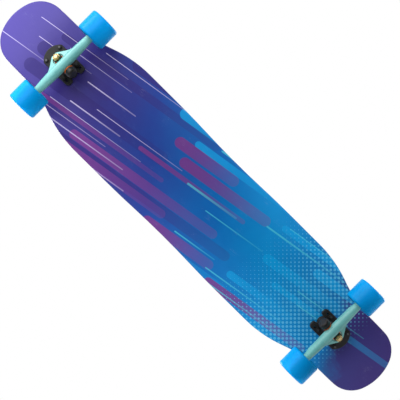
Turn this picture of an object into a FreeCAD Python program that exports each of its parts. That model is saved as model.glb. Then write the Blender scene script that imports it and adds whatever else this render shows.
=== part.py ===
"""Longboard skateboard: a double-kick deck on two reverse-kingpin trucks with four wheels.

Frame: +X towards the nose, +Y to the rider's left, +Z up, origin on the ground under the deck's centre.
Millimetres and degrees.
"""
import FreeCAD, Part
import math
import os

import Sketcher
from FreeCAD import Placement, Rotation, Vector

# Driving dimensions: alias, value
SIZES = {
    # deck outline, seen from above
    "deck_length": 1170,
    "deck_width": 240,
    "waist_draw": 3.5,
    "rail_length": 92,
    "shoulder_radius": 290,
    "taper_length": 205,
    "neck_draw": 37,
    "tip_length": 110,
    "side_radius": 1500,
    "corner_spread": 17,
    "tip_bluntness": 27,
    # deck section and side profile
    "deck_thickness": 11,
    "concave_flat": 120,
    "concave_radius": 300,
    "kick_length": 107,
    "kick_radius": 150,
    "kick_angle": 14,
    "rail_radius": 3,
    "grip_thickness": 1,
    "grip_inset": 3.5,
    "glue_gap": 0.1,
    # truck layout
    "axle_inset": 172,
    "axle_drop": 64,
    "kingpin_lean": 30,
    "ring_reach": 21,
    "ring_drop": 11,
    "riser_thickness": 3,
    # baseplate
    "plate_outboard": 56,
    "plate_inboard": 33.3,
    "plate_width": 57,
    "plate_thickness": 6,
    "plate_end_radius": 36,
    "plate_edge": 1.5,
    "ear_width": 17,
    "ear_round": 8.2,
    "ear_inner_round": 4,
    "notch_depth": 8.6,
    "notch_round": 4.5,
    "tower_width": 20,
    "tower_gap": 0.6,
    "boss_radius": 14.5,
    "housing_wall": 3.4,
    "housing_round": 5,
    # mounting bolts
    "bolt_inboard": 12.5,
    "bolt_pitch_long": 54,
    "bolt_pitch_wide": 41.3,
    "bolt_pitch_spare": 63.5,
    "bolt_diameter": 4.8,
    "bolt_hole_gap": 0.2,
    "bolt_head_diameter": 9.4,
    "bolt_head_height": 2.6,
    "bolt_socket_flats": 3.2,
    "bolt_socket_depth": 1.8,
    "bolt_proud": 1.5,
    "bolt_nut_flats": 9.5,
    "bolt_nut_height": 5.5,
    # kingpin stack, measured along the kingpin from the ring's middle
    "kingpin_diameter": 9.52,
    "kingpin_gap": 0.25,
    "kingpin_head_flats": 14.3,
    "kingpin_head_height": 5.5,
    "kingpin_head_gap": 1,
    "kingpin_seat": 18,
    "kingpin_proud": 0.4,
    "kingpin_nut_flats": 14.3,
    "kingpin_nut_height": 7,
    "nut_collar": 2.4,
    "nut_step": 0.4,
    "thread_gap": 0.04,
    "ring_thickness": 9,
    "bushing_radius": 12.8,
    "bushing_edge": 1.6,
    "boardside_height": 14.5,
    "roadside_height": 9.5,
    "roadside_radius": 11.4,
    "roadside_top_radius": 9.2,
    "seat_gap": 0.1,
    "washer_radius": 13,
    "roadside_washer_radius": 9.9,
    "washer_thickness": 2,
    "washer_edge": 0.6,
    # hanger
    "hanger_width": 180,
    "beam_end_radius": 7.9,
    "beam_mid_radius": 12,
    "yoke_reach": 17.8,
    "yoke_flat": 14,
    "yoke_spread": 106,
    "yoke_corner": 6.5,
    "yoke_fairing": 75,
    "yoke_flare": 27,
    "yoke_edge": 1.2,
    "yoke_rise": 9.5,
    "window_room": 2.2,
    "seat_depth": 1.5,
    "seat_radius_gap": 0.6,
    "ring_hole_radius": 8,
    "bushing_room": 1.4,
    # pivot nose and cup, measured inboard from the ring's middle along the steering axis
    "nose_radius": 7.5,
    "nose_neck": 29,
    "nose_ball": 40,
    "nose_ball_radius": 5,
    "pivot_gap": 0.3,
    "cup_mouth": 33.6,
    "cup_flange": 3,
    "cup_flange_radius": 11.6,
    "cup_wall": 3,
    "cup_floor": 1.6,
    "cup_fit_gap": 0.05,
    # axle and wheels
    "axle_diameter": 8,
    "axle_proud": 1.5,
    "axle_nut_flats": 12.7,
    "axle_nut_height": 8,
    "speed_washer_radius": 6,
    "speed_washer_thickness": 1,
    "slip_gap": 0.03,
    "wheel_diameter": 70,
    "wheel_width": 51,
    "wheel_inset": 11.5,
    "wheel_lip": 5,
    "wheel_face_radius": 26,
    "core_radius": 18,
    "core_shoulder": 1.6,
    "core_pocket_radius": 1.9,
    "core_pocket_depth": 4,
    "core_pocket_count": 10,
    "bearing_diameter": 22,
    "bearing_width": 7,
    "bearing_gap_width": 10,
    "spacer_radius": 5.6,
    "ball_diameter": 3.97,
    "ball_circle_radius": 7.5,
    "ball_count": 7,
    "ball_gap": 0.05,
    "race_land": 1.5,
    "shield_thickness": 0.35,
    "shield_inset": 0.25,
    "shield_gap": 0.25,
    "cage_wall": 1.2,
}

# How close to a level counts as on it, how far an upright edge may slant, and how far a side face may tilt
LEVEL_TOLERANCE = 0.01
UPRIGHT_SLANT = 0.05
SIDE_TILT = 0.5

ENDS = {"front": 0, "rear": 180}
SIDES = {"left": -90, "right": 90}

doc = FreeCAD.newDocument("longboard")
sheet = doc.addObject("Spreadsheet::Sheet", "Size")
for row, (alias, number) in enumerate(SIZES.items(), start=1):
    sheet.set(f"A{row}", alias.replace("_", " "))
    sheet.set(f"B{row}", str(number))
    sheet.setAlias(f"B{row}", alias)
doc.recompute()

# Lengths that several pieces share, as expressions over the sheet
DECK_END = "(Size.deck_length / 2)"
KICK_START = f"({DECK_END} - Size.kick_length)"
AXLE_X = f"({DECK_END} - Size.axle_inset)"
WHEEL_RADIUS = "Size.wheel_diameter / 2"
PLATE_FACE = f"{WHEEL_RADIUS} + Size.axle_drop"
DECK_UNDERSIDE = f"{PLATE_FACE} + Size.riser_thickness"
RING_X = "(Size.ring_reach * cos(Size.kingpin_lean) - Size.ring_drop * sin(Size.kingpin_lean))"
RING_RISE = "(Size.ring_reach * sin(Size.kingpin_lean) + Size.ring_drop * cos(Size.kingpin_lean))"
RING_Z = f"({WHEEL_RADIUS} + {RING_RISE})"
RING_DEPTH = f"({PLATE_FACE} - {RING_Z})"
ROADSIDE_FOOT = "(Size.ring_thickness / 2 + Size.seat_gap)"
ROADSIDE_WASHER = f"({ROADSIDE_FOOT} + Size.roadside_height)"
KINGPIN_NUT = f"({ROADSIDE_WASHER} + Size.washer_thickness)"
KINGPIN_END = f"({KINGPIN_NUT} + Size.kingpin_nut_height + Size.kingpin_proud)"
BOARDSIDE_FOOT = f"({ROADSIDE_FOOT} + Size.boardside_height)"
BASE_SEAT = f"({BOARDSIDE_FOOT} + Size.washer_thickness)"
KINGPIN_HEAD = f"({BASE_SEAT} + Size.kingpin_seat)"
CUP_BORE = "(Size.nose_ball_radius + Size.pivot_gap)"
CUP_SLEEVE = "(Size.nose_ball_radius + Size.pivot_gap + Size.cup_wall)"
CUP_END = f"(Size.nose_ball + {CUP_BORE} + Size.cup_floor)"
HOUSING_MOUTH = "(Size.cup_mouth + Size.cup_flange)"
HUB_START = "(Size.hanger_width / 2 + Size.speed_washer_thickness)"
HUB_WIDTH = "(2 * Size.bearing_width + Size.bearing_gap_width)"
HUB_END = f"({HUB_START} + {HUB_WIDTH})"
AXLE_NUT = f"({HUB_END} + Size.speed_washer_thickness)"
AXLE_END = f"({AXLE_NUT} + Size.axle_nut_height + Size.axle_proud)"


def value(expression):
    """Number that an expression over the sheet gives."""
    return float(sheet.evalExpression(expression))


def bind(target, **expressions):
    """Tie properties of an object to expressions; a double underscore stands for a dot."""
    for name, expression in expressions.items():
        target.setExpression(name.replace("__", "."), expression)


# Sketches

def sketch_on(body, role, label, base=None, axis=Vector(0, 0, 1), turn=None):
    """Sketch on one of the body's own planes, moved by base and turned about axis."""
    plane = next(f for f in body.Origin.OriginFeatures if f.Role == role)
    sketch = body.newObject("Sketcher::SketchObject", label)
    sketch.AttachmentSupport = [(plane, "")]
    sketch.MapMode = "FlatFace"
    sketch.AttachmentOffset = Placement(Vector(0, 0, 0), Rotation(axis, 1 if turn else 0))
    for letter, expression in zip("xyz", base or ()):
        if expression != "0":
            sketch.setExpression(f"AttachmentOffset.Base.{letter}", expression)
    if turn:
        sketch.setExpression("AttachmentOffset.Rotation.Angle", turn)
    return sketch


def pin_point(sketch, geometry, end, x, y):
    """Hold a sketch point at the place that two expressions give."""
    for kind, axis, expression in (("DistanceX", -2, x), ("DistanceY", -1, y)):
        if expression == "0":
            sketch.addConstraint(Sketcher.Constraint("PointOnObject", geometry, end, axis))
            continue
        number = sketch.addConstraint(Sketcher.Constraint(kind, -1, 1, geometry, end, value(expression)))
        sketch.setExpression(f"Constraints[{number}]", expression)


def hold_radius(sketch, geometry, expression):
    """Hold the radius of a sketch arc or circle."""
    number = sketch.addConstraint(Sketcher.Constraint("Radius", geometry, value(expression)))
    sketch.setExpression(f"Constraints[{number}]", expression)


def arc_between(first, last, centre):
    """Short arc from first to last about centre, and the sketch ends that stand for first and last."""
    radius = (first - centre).Length
    circle = Part.Circle(centre, Vector(0, 0, 1), radius)
    start, stop = first - centre, last - centre
    if start.cross(stop).z < 0:
        start, stop, ends = stop, start, (2, 1)
    else:
        ends = (1, 2)
    low = math.atan2(start.y, start.x)
    high = math.atan2(stop.y, stop.x)
    return Part.ArcOfCircle(circle, low, high if high > low else high + 2 * math.pi), ends


def bow_centre(first, last, radius):
    """Centre of the arc that bows to the right of the way from first to last, or to the left if minus."""
    chord = last - first
    height = math.sqrt(radius * radius - chord.Length * chord.Length / 4)
    side = Vector(-chord.y, chord.x, 0).normalize()
    return (first + last) / 2 + side * math.copysign(height, radius)


def draw_outline(sketch, corners):
    """Closed outline through corners given as x, y and, where there are any, fillet and bow.

    The fillet rounds the corner, and the bow is the radius of an arc from it to the next corner.
    """
    rows = [tuple(corner) + (None,) * (4 - len(corner)) for corner in corners]
    points = [Vector(value(x), value(y), 0) for x, y, fillet, bow in rows]
    count = len(rows)
    leave, arrive, centres = list(points), list(points), [None] * count
    for i, (x, y, fillet, bow) in enumerate(rows):
        if fillet:
            back = (points[i - 1] - points[i]).normalize()
            ahead = (points[(i + 1) % count] - points[i]).normalize()
            half = back.getAngle(ahead) / 2
            trim = value(fillet) / math.tan(half)
            arrive[i] = points[i] + back * trim
            leave[i] = points[i] + ahead * trim
            centres[i] = points[i] + (back + ahead).normalize() * (value(fillet) / math.sin(half))
    edges = []
    for i, (x, y, fillet, bow) in enumerate(rows):
        first, last = leave[i], arrive[(i + 1) % count]
        if bow:
            curve, ends = arc_between(first, last, bow_centre(first, last, value(bow)))
        else:
            curve, ends = Part.LineSegment(first, last), (1, 2)
        edges.append((sketch.addGeometry(curve, False), ends))
        if bow:
            hold_radius(sketch, edges[i][0], bow.lstrip("-"))
    for i, (x, y, fillet, bow) in enumerate(rows):
        (before, before_ends), (after, after_ends) = edges[i - 1], edges[i]
        if fillet:
            curve, ends = arc_between(arrive[i], leave[i], centres[i])
            arc = sketch.addGeometry(curve, False)
            corner = sketch.addGeometry(Part.Point(points[i]), True)
            sketch.addConstraint(Sketcher.Constraint("Tangent", before, before_ends[1], arc, ends[0]))
            sketch.addConstraint(Sketcher.Constraint("Tangent", arc, ends[1], after, after_ends[0]))
            hold_radius(sketch, arc, fillet)
            sketch.addConstraint(Sketcher.Constraint("PointOnObject", corner, 1, before))
            sketch.addConstraint(Sketcher.Constraint("PointOnObject", corner, 1, after))
            pin_point(sketch, corner, 1, x, y)
        else:
            foot = after_ends[0]
            sketch.addConstraint(Sketcher.Constraint("Coincident", before, before_ends[1], after, foot))
            pin_point(sketch, after, foot, x, y)


def draw_circles(sketch, centres, radius):
    """Circles of one radius about centres given as pairs of expressions."""
    for x, y in centres:
        circle = Part.Circle(Vector(value(x), value(y), 0), Vector(0, 0, 1), value(radius))
        number = sketch.addGeometry(circle, False)
        hold_radius(sketch, number, radius)
        pin_point(sketch, number, 3, x, y)


def hexagon(flats):
    """Corners of a hexagon of the given width across its flats."""
    corner = f"{flats} / sqrt(3)"
    return [(f"{corner} * cos({turn})", f"{corner} * sin({turn})") for turn in range(0, 360, 60)]


# Features

def new_body(label, placement=None):
    """Empty body with its place in the board."""
    body = doc.addObject("PartDesign::Body", label)
    body.Placement = placement or Placement()
    return body


def turn_profile(body, sketch, axis="V_Axis", kind="Revolution"):
    """Turn a sketch once about one of its own axes, as material or as a groove."""
    feature = body.newObject(f"PartDesign::{kind}", f"{sketch.Label}_{kind.lower()}")
    feature.Profile = sketch
    feature.ReferenceAxis = (sketch, [axis])
    feature.Angle = 360
    return feature


def extrude(body, sketch, length, kind="Pad", backwards=False):
    """Pad or pocket a sketch by a length; a pocket goes against the sketch's normal unless backwards."""
    feature = body.newObject(f"PartDesign::{kind}", f"{sketch.Label}_{kind.lower()}")
    feature.Profile = sketch
    feature.Reversed = backwards
    bind(feature, Length=length)
    return feature


def round_edges(body, label, radius, wanted):
    """Fillet the edges of the body's last feature for which wanted(edge) is true."""
    doc.recompute()
    base = body.Tip
    names = [f"Edge{i}" for i, edge in enumerate(base.Shape.Edges, start=1) if wanted(edge)]
    feature = body.newObject("PartDesign::Fillet", label)
    feature.Base = (base, names)
    bind(feature, Radius=radius)
    return feature


def turned(label, corners, placement=None):
    """Body of revolution about its own Z from a profile of radius and height."""
    body = new_body(label, placement)
    sketch = sketch_on(body, "XZ_Plane", f"{label}_profile")
    draw_outline(sketch, corners)
    turn_profile(body, sketch)
    return body


def group(label, source, placements):
    """One node of separate equal solids: copies of a body's shape at the given places."""
    doc.recompute()
    copies = []
    for placement in placements:
        copy = source.Shape.copy()
        copy.Placement = placement.multiply(copy.Placement)
        copies.append(copy)
    node = doc.addObject("Part::Feature", label)
    node.Shape = Part.makeCompound(copies)
    return node


# Places

def half_turn(end):
    """Whole truck's place: the rear truck is the front one turned about the board's middle."""
    return Placement(Vector(0, 0, 0), Rotation(Vector(0, 0, 1), ENDS[end]))


def plate_place(end):
    """Baseplate frame: under the mounting face above the axle, X outboard, Z down to the road."""
    front = Placement(
        Vector(value(AXLE_X), 0, value(PLATE_FACE)),
        Rotation(Vector(1, 0, 0), 180),
    )
    return half_turn(end).multiply(front)


def ring_place(end):
    """Kingpin frame: in the ring's middle, X outboard along the steering axis, Z to the kingpin's nut."""
    tilt = Rotation(Vector(0, 1, 0), -value("Size.kingpin_lean"))
    front = Placement(
        Vector(value(f"{AXLE_X} + {RING_X}"), 0, value(RING_Z)),
        tilt.multiply(Rotation(Vector(1, 0, 0), 180)),
    )
    return half_turn(end).multiply(front)


def axle_place(end, side="left"):
    """Axle frame: at the axle's middle, Z out along the axle to one side."""
    sign = 1 if end == "front" else -1
    return Placement(
        Vector(sign * value(AXLE_X), 0, value(WHEEL_RADIUS)),
        Rotation(Vector(1, 0, 0), SIDES[side]),
    )


def bolt_spots():
    """Places of the eight mounting bolts on the board, from above."""
    spots = []
    for end in ENDS:
        sign = 1 if end == "front" else -1
        inner = value(f"{AXLE_X} - Size.bolt_inboard")
        for reach in (inner, inner + value("Size.bolt_pitch_long")):
            for side in (1, -1):
                spots.append(Vector(sign * reach, side * value("Size.bolt_pitch_wide / 2"), 0))
    return spots


# Deck

def crossing(first, first_radius, second, second_radius):
    """Where two circles cross, on the left of the way from the first centre to the second."""
    way = second - first
    along = (first_radius ** 2 - second_radius ** 2 + way.Length ** 2) / (2 * way.Length)
    aside = math.sqrt(first_radius ** 2 - along ** 2)
    way.normalize()
    return first + way * along + Vector(-way.y, way.x, 0) * aside


def deck_outline(inset=0):
    """Deck's outline from above, worked out as tangent arcs and lines in one quarter and mirrored twice.

    From the waist an S of two arcs swells to the full width, a straight rail leads to the shoulder, an S of
    two arcs draws in to the neck, and a slow side arc and a corner arc lead round to the blunt tip. An inset
    moves each point inwards.
    """
    half_width = value("Size.deck_width / 2")
    swell = value("Size.waist_draw")
    draw_in = value("Size.neck_draw")
    half_waist = half_width - swell
    half_neck = half_width - draw_in
    neck = value(f"{DECK_END} - Size.tip_length")
    shoulder = neck - value("Size.taper_length")
    waist_reach = shoulder - value("Size.rail_length")
    tip_radius = half_neck + value("Size.tip_bluntness")
    corner_radius = half_neck - value("Size.corner_spread")
    side_radius = value("Size.side_radius")
    swell_radius = (waist_reach ** 2 + swell ** 2) / (4 * swell)
    outer_radius = value("Size.shoulder_radius")
    inner_radius = ((neck - shoulder) ** 2 + draw_in ** 2) / (2 * draw_in) - outer_radius
    tip_centre = Vector(value(DECK_END) - tip_radius, 0, 0)
    side_centre = Vector(neck, half_neck - side_radius, 0)
    corner_centre = crossing(tip_centre, tip_radius - corner_radius, side_centre, side_radius - corner_radius)
    side_way = (corner_centre - side_centre).normalize()
    tip_way = (corner_centre - tip_centre).normalize()

    waist_low = Vector(0, half_waist + swell_radius, 0)
    waist_high = Vector(waist_reach, half_width - swell_radius, 0)
    shoulder_centre = Vector(shoulder, half_width - outer_radius, 0)
    neck_centre = Vector(neck, half_neck + inner_radius, 0)
    share = outer_radius / (outer_radius + inner_radius)
    points = [
        Vector(0, half_waist, 0),
        (waist_low + waist_high) / 2,
        Vector(waist_reach, half_width, 0),
        Vector(shoulder, half_width, 0),
        shoulder_centre + (neck_centre - shoulder_centre) * share,
        Vector(neck, half_neck, 0),
        corner_centre + side_way * corner_radius,
        corner_centre + tip_way * corner_radius,
        tip_centre + Vector(tip_radius, 0, 0),
    ]
    aside = Vector(0, 1, 0)
    swell_way = (waist_low - waist_high).normalize()
    taper_way = (neck_centre - shoulder_centre).normalize()
    outwards = [aside, swell_way, aside, aside, taper_way, aside, side_way, tip_way, Vector(1, 0, 0)]
    points = [point - way * inset for point, way in zip(points, outwards)]
    centres = [waist_low, waist_high, None, shoulder_centre, neck_centre, side_centre]
    centres += [corner_centre, tip_centre]
    arcs = zip(points, points[1:], centres)
    edges = []
    for first, last, centre in arcs:
        if centre is None:
            edges.append(Part.LineSegment(first, last).toShape())
        else:
            edges.append(arc_between(first, last, centre)[0].toShape())
    right = [edge.mirror(Vector(0, 0, 0), Vector(0, 1, 0)) for edge in edges]
    ahead = edges + right
    behind = [edge.mirror(Vector(0, 0, 0), Vector(1, 0, 0)) for edge in ahead]
    return Part.Wire(Part.__sortEdges__(ahead + behind))


def kick_path():
    """Side line of the deck's underside: level between the kicks, an arc into each kick, then straight."""
    start = value(KICK_START)
    radius = value("Size.kick_radius")
    angle = math.radians(value("Size.kick_angle"))
    level = value(DECK_UNDERSIDE)
    foot = Vector(start, 0, level)
    centre = foot + Vector(0, 0, radius)
    middle = centre + Vector(math.sin(angle / 2), 0, -math.cos(angle / 2)) * radius
    lip = centre + Vector(math.sin(angle), 0, -math.cos(angle)) * radius
    rest = value(DECK_END) - lip.x + value("Size.deck_thickness")
    tip = lip + Vector(1, 0, math.tan(angle)) * rest
    flip = Vector(1, 0, 0)
    points = [tip, lip, middle, foot]
    mirrored = [p - flip * (2 * p.x) for p in points]
    edges = [
        Part.LineSegment(mirrored[0], mirrored[1]),
        Part.Arc(mirrored[1], mirrored[2], mirrored[3]),
        Part.LineSegment(mirrored[3], foot),
        Part.Arc(foot, middle, lip),
        Part.LineSegment(lip, tip),
    ]
    return Part.Wire([edge.toShape() for edge in edges])


def pressed_sheet(label, low, high, outline):
    """Sheet pressed into the deck's shape between two heights above its underside, cut to an outline.

    Its section is level in the middle, with rails that curve up on arcs about shared centres.
    """
    path = kick_path()
    start = path.Vertexes[0].Point
    flat = value("Size.concave_flat / 2")
    radius = value("Size.concave_radius")
    spare = value("Size.deck_thickness")
    reach = math.asin((value("Size.deck_width / 2") + spare - flat) / (radius - high))
    lines = []
    for arm in (radius - low, radius - high):
        arcs = []
        for side in (-1, 1):
            centre = Vector(0, side * flat, radius)
            rays = [Vector(0, side * math.sin(turn), -math.cos(turn)) for turn in (0, reach / 2, reach)]
            arcs.append([centre + ray * arm for ray in rays])
        left, right = arcs
        run = [Part.Arc(left[2], left[1], left[0]), Part.LineSegment(left[0], right[0]), Part.Arc(*right)]
        lines.append([edge.toShape() for edge in run])
    lower, upper = lines
    sides = [
        Part.LineSegment(lower[0].Vertexes[0].Point, upper[0].Vertexes[0].Point).toShape(),
        Part.LineSegment(lower[2].Vertexes[1].Point, upper[2].Vertexes[1].Point).toShape(),
    ]
    section = Part.Wire(Part.__sortEdges__(lower + upper + sides))
    section.Placement = Placement(start, Rotation(Vector(0, 1, 0), value("Size.kick_angle")))

    spine = doc.addObject("Part::Feature", f"{label}_side_line")
    spine.Shape = path
    profile = doc.addObject("Part::Feature", f"{label}_section")
    profile.Shape = section
    press = doc.addObject("Part::Sweep", f"{label}_press")
    press.Sections = [profile]
    press.Spine = (spine, [f"Edge{i + 1}" for i in range(len(path.Edges))])
    press.Solid = True

    plan = doc.addObject("Part::Feature", f"{label}_outline")
    plan.Shape = Part.Face(outline)
    blank = doc.addObject("Part::Extrusion", f"{label}_blank")
    blank.Base = plan
    blank.DirMode = "Custom"
    blank.Dir = Vector(0, 0, 1)
    bind(blank, LengthFwd=f"{DECK_UNDERSIDE} + Size.deck_length / 4")
    blank.Solid = True
    board = doc.addObject("Part::Common", f"{label}_board")
    board.Base = press
    board.Tool = blank
    doc.recompute()
    return board


def drill(label, board, cutters):
    """Cut a row of tools out of a board."""
    tools = doc.addObject("Part::MultiFuse", f"{label}_tools")
    tools.Shapes = cutters
    node = doc.addObject("Part::Cut", label)
    node.Base = board
    node.Tool = tools
    return node


def make_deck():
    """Pressed maple deck with rounded rails and eight countersunk bolt holes."""
    board = pressed_sheet("deck", 0, value("Size.deck_thickness"), deck_outline())
    rails = doc.addObject("Part::Fillet", "deck_rails")
    rails.Base = board
    sides = [face for face in board.Shape.Faces if abs(face.normalAt(*middle_of(face)).z) < SIDE_TILT]
    rim = {edge.hashCode() for face in sides for edge in face.Edges if not is_upright(edge)}
    numbers = [i for i, edge in enumerate(board.Shape.Edges, start=1) if edge.hashCode() in rim]
    radius = value("Size.rail_radius")
    rails.Edges = [(number, radius, radius) for number in numbers]
    cutters = []
    top = f"{DECK_UNDERSIDE} + Size.deck_thickness"
    for number, spot in enumerate(bolt_spots()):
        hole = doc.addObject("Part::Cylinder", f"deck_hole_{number}")
        bind(hole, Radius="Size.bolt_diameter / 2 + Size.bolt_hole_gap", Height="3 * Size.deck_thickness")
        bind(hole, Placement__Base__z=f"{DECK_UNDERSIDE} - Size.deck_thickness")
        sink = doc.addObject("Part::Cone", f"deck_sink_{number}")
        bind(sink, Radius1="Size.bolt_diameter / 2 + Size.bolt_hole_gap",
             Radius2="Size.bolt_head_diameter / 2 + Size.bolt_hole_gap", Height="Size.bolt_head_height")
        bind(sink, Placement__Base__z=f"{top} - Size.bolt_head_height")
        for tool in (hole, sink):
            tool.Placement.Base = Vector(spot.x, spot.y, 0)
            cutters.append(tool)
    return drill("deck", rails, cutters)


def middle_of(face):
    """Middle of a face's parameter range."""
    low_u, high_u, low_v, high_v = face.ParameterRange
    return (low_u + high_u) / 2, (low_v + high_v) / 2


def is_upright(edge):
    """Whether an edge runs straight up between a board's two faces."""
    ends = [vertex.Point for vertex in edge.Vertexes]
    if len(ends) < 2:
        return False
    way = ends[1] - ends[0]
    return math.hypot(way.x, way.y) < UPRIGHT_SLANT * way.Length


def make_grip_tape():
    """Abrasive sheet glued on the deck's top, short of the rails and punched for the bolt heads."""
    low = value("Size.deck_thickness + Size.glue_gap")
    outline = deck_outline(value("Size.grip_inset"))
    board = pressed_sheet("grip_tape", low, low + value("Size.grip_thickness"), outline)
    cutters = []
    for number, spot in enumerate(bolt_spots()):
        hole = doc.addObject("Part::Cylinder", f"grip_hole_{number}")
        bind(hole, Radius="Size.bolt_head_diameter / 2 + Size.bolt_hole_gap")
        bind(hole, Height="Size.deck_thickness * 2", Placement__Base__z=DECK_UNDERSIDE)
        hole.Placement.Base = Vector(spot.x, spot.y, 0)
        cutters.append(hole)
    return drill("grip_tape", board, cutters)


def make_deck_bolts():
    """Eight countersunk bolts, heads flush with the deck's top, each with a hexagon socket."""
    length = ("Size.deck_thickness + Size.riser_thickness + Size.plate_thickness"
              " + Size.bolt_nut_height + Size.bolt_proud")
    shank = "Size.bolt_diameter / 2"
    bolt = turned("deck_bolt", [
        ("0", "0"),
        ("Size.bolt_head_diameter / 2", "0"),
        (shank, "-Size.bolt_head_height"),
        (shank, f"-({length})"),
        ("0", f"-({length})"),
    ])
    socket = sketch_on(bolt, "XY_Plane", "deck_bolt_socket")
    draw_outline(socket, hexagon("Size.bolt_socket_flats"))
    extrude(bolt, socket, "Size.bolt_socket_depth", "Pocket")
    top = value(f"{DECK_UNDERSIDE} + Size.deck_thickness")
    places = [Placement(spot + Vector(0, 0, top), Rotation()) for spot in bolt_spots()]
    return group("deck_bolts", bolt, places)


def lock_nut(label, flats, height, bore, placement=None):
    """Hexagon nut with a round locking collar at its far end, standing on its own XY plane."""
    nut = new_body(label, placement)
    block = sketch_on(nut, "XY_Plane", f"{label}_flats")
    draw_outline(block, hexagon(flats))
    extrude(nut, block, f"{height} - Size.nut_collar")
    collar = sketch_on(nut, "XZ_Plane", f"{label}_collar")
    draw_outline(collar, [
        ("0", "0"),
        (f"{flats} / 2 - Size.nut_step", "0"),
        (f"{flats} / 2 - Size.nut_step", height, "Size.nut_collar / 3"),
        ("0", height),
    ])
    turn_profile(nut, collar)
    hole = sketch_on(nut, "XY_Plane", f"{label}_bore")
    draw_circles(hole, [("0", "0")], f"{bore} / 2 + Size.thread_gap")
    extrude(nut, hole, height, "Pocket", backwards=True)
    return nut


def make_deck_nuts():
    """Eight lock nuts under the baseplates."""
    nut = lock_nut("deck_nut", "Size.bolt_nut_flats", "Size.bolt_nut_height", "Size.bolt_diameter")
    face = value(f"{PLATE_FACE} - Size.plate_thickness")
    down = Rotation(Vector(1, 0, 0), 180)
    places = [Placement(spot + Vector(0, 0, face), down) for spot in bolt_spots()]
    return group("deck_nuts", nut, places)


# Trucks

def plate_outline():
    """Baseplate outline: round outboard end, straight sides, two ears inboard with a notch between them."""
    half = "Size.plate_width / 2"
    bow = "sqrt(Size.plate_end_radius^2 - Size.plate_width^2 / 4)"
    end = f"(Size.plate_outboard - Size.plate_end_radius + {bow})"
    inner = "(Size.plate_width / 2 - Size.ear_width)"
    notch = "(Size.notch_depth - Size.plate_inboard)"
    return [
        (end, f"-{half}", None, "Size.plate_end_radius"),
        (end, half),
        ("-Size.plate_inboard", half, "Size.ear_round"),
        ("-Size.plate_inboard", inner, "Size.ear_inner_round"),
        (notch, inner, "Size.notch_round"),
        (notch, f"-{inner}", "Size.notch_round"),
        ("-Size.plate_inboard", f"-{inner}", "Size.ear_inner_round"),
        ("-Size.plate_inboard", f"-{half}", "Size.ear_round"),
    ]


def plate_bolts(with_spares):
    """Bolt places in the baseplate frame, with or without the spare pair in the ears."""
    outer = "(Size.bolt_pitch_long - Size.bolt_inboard)"
    reaches = ["-Size.bolt_inboard", outer]
    if with_spares:
        reaches.append(f"({outer} - Size.bolt_pitch_spare)")
    return [(reach, f"{sign}Size.bolt_pitch_wide / 2") for reach in reaches for sign in ("", "-")]


def drill_bolts(body, depth):
    """Bolt holes through a plate that stands on its own XY plane."""
    holes = sketch_on(body, "XY_Plane", f"{body.Label}_holes")
    draw_circles(holes, plate_bolts(True), "Size.bolt_diameter / 2 + Size.bolt_hole_gap")
    extrude(body, holes, depth, "Pocket", backwards=True)


def make_riser_pad(end):
    """Flat pad between the deck and the baseplate."""
    place = plate_place(end).multiply(Placement(Vector(0, 0, -value("Size.riser_thickness")), Rotation()))
    pad = new_body(f"{end}_riser_pad", place)
    plan = sketch_on(pad, "XY_Plane", f"{pad.Label}_plan")
    draw_outline(plan, plate_outline())
    extrude(pad, plan, "Size.riser_thickness")
    drill_bolts(pad, "Size.riser_thickness")
    return pad


def steering_point(inboard, up):
    """Point of the baseplate frame, given inboard along the steering axis and up along the kingpin."""
    across = f"({RING_X} - ({inboard}) * cos(Size.kingpin_lean) + ({up}) * sin(Size.kingpin_lean))"
    down = f"({RING_DEPTH} + ({inboard}) * sin(Size.kingpin_lean) + ({up}) * cos(Size.kingpin_lean))"
    return across, down


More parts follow.
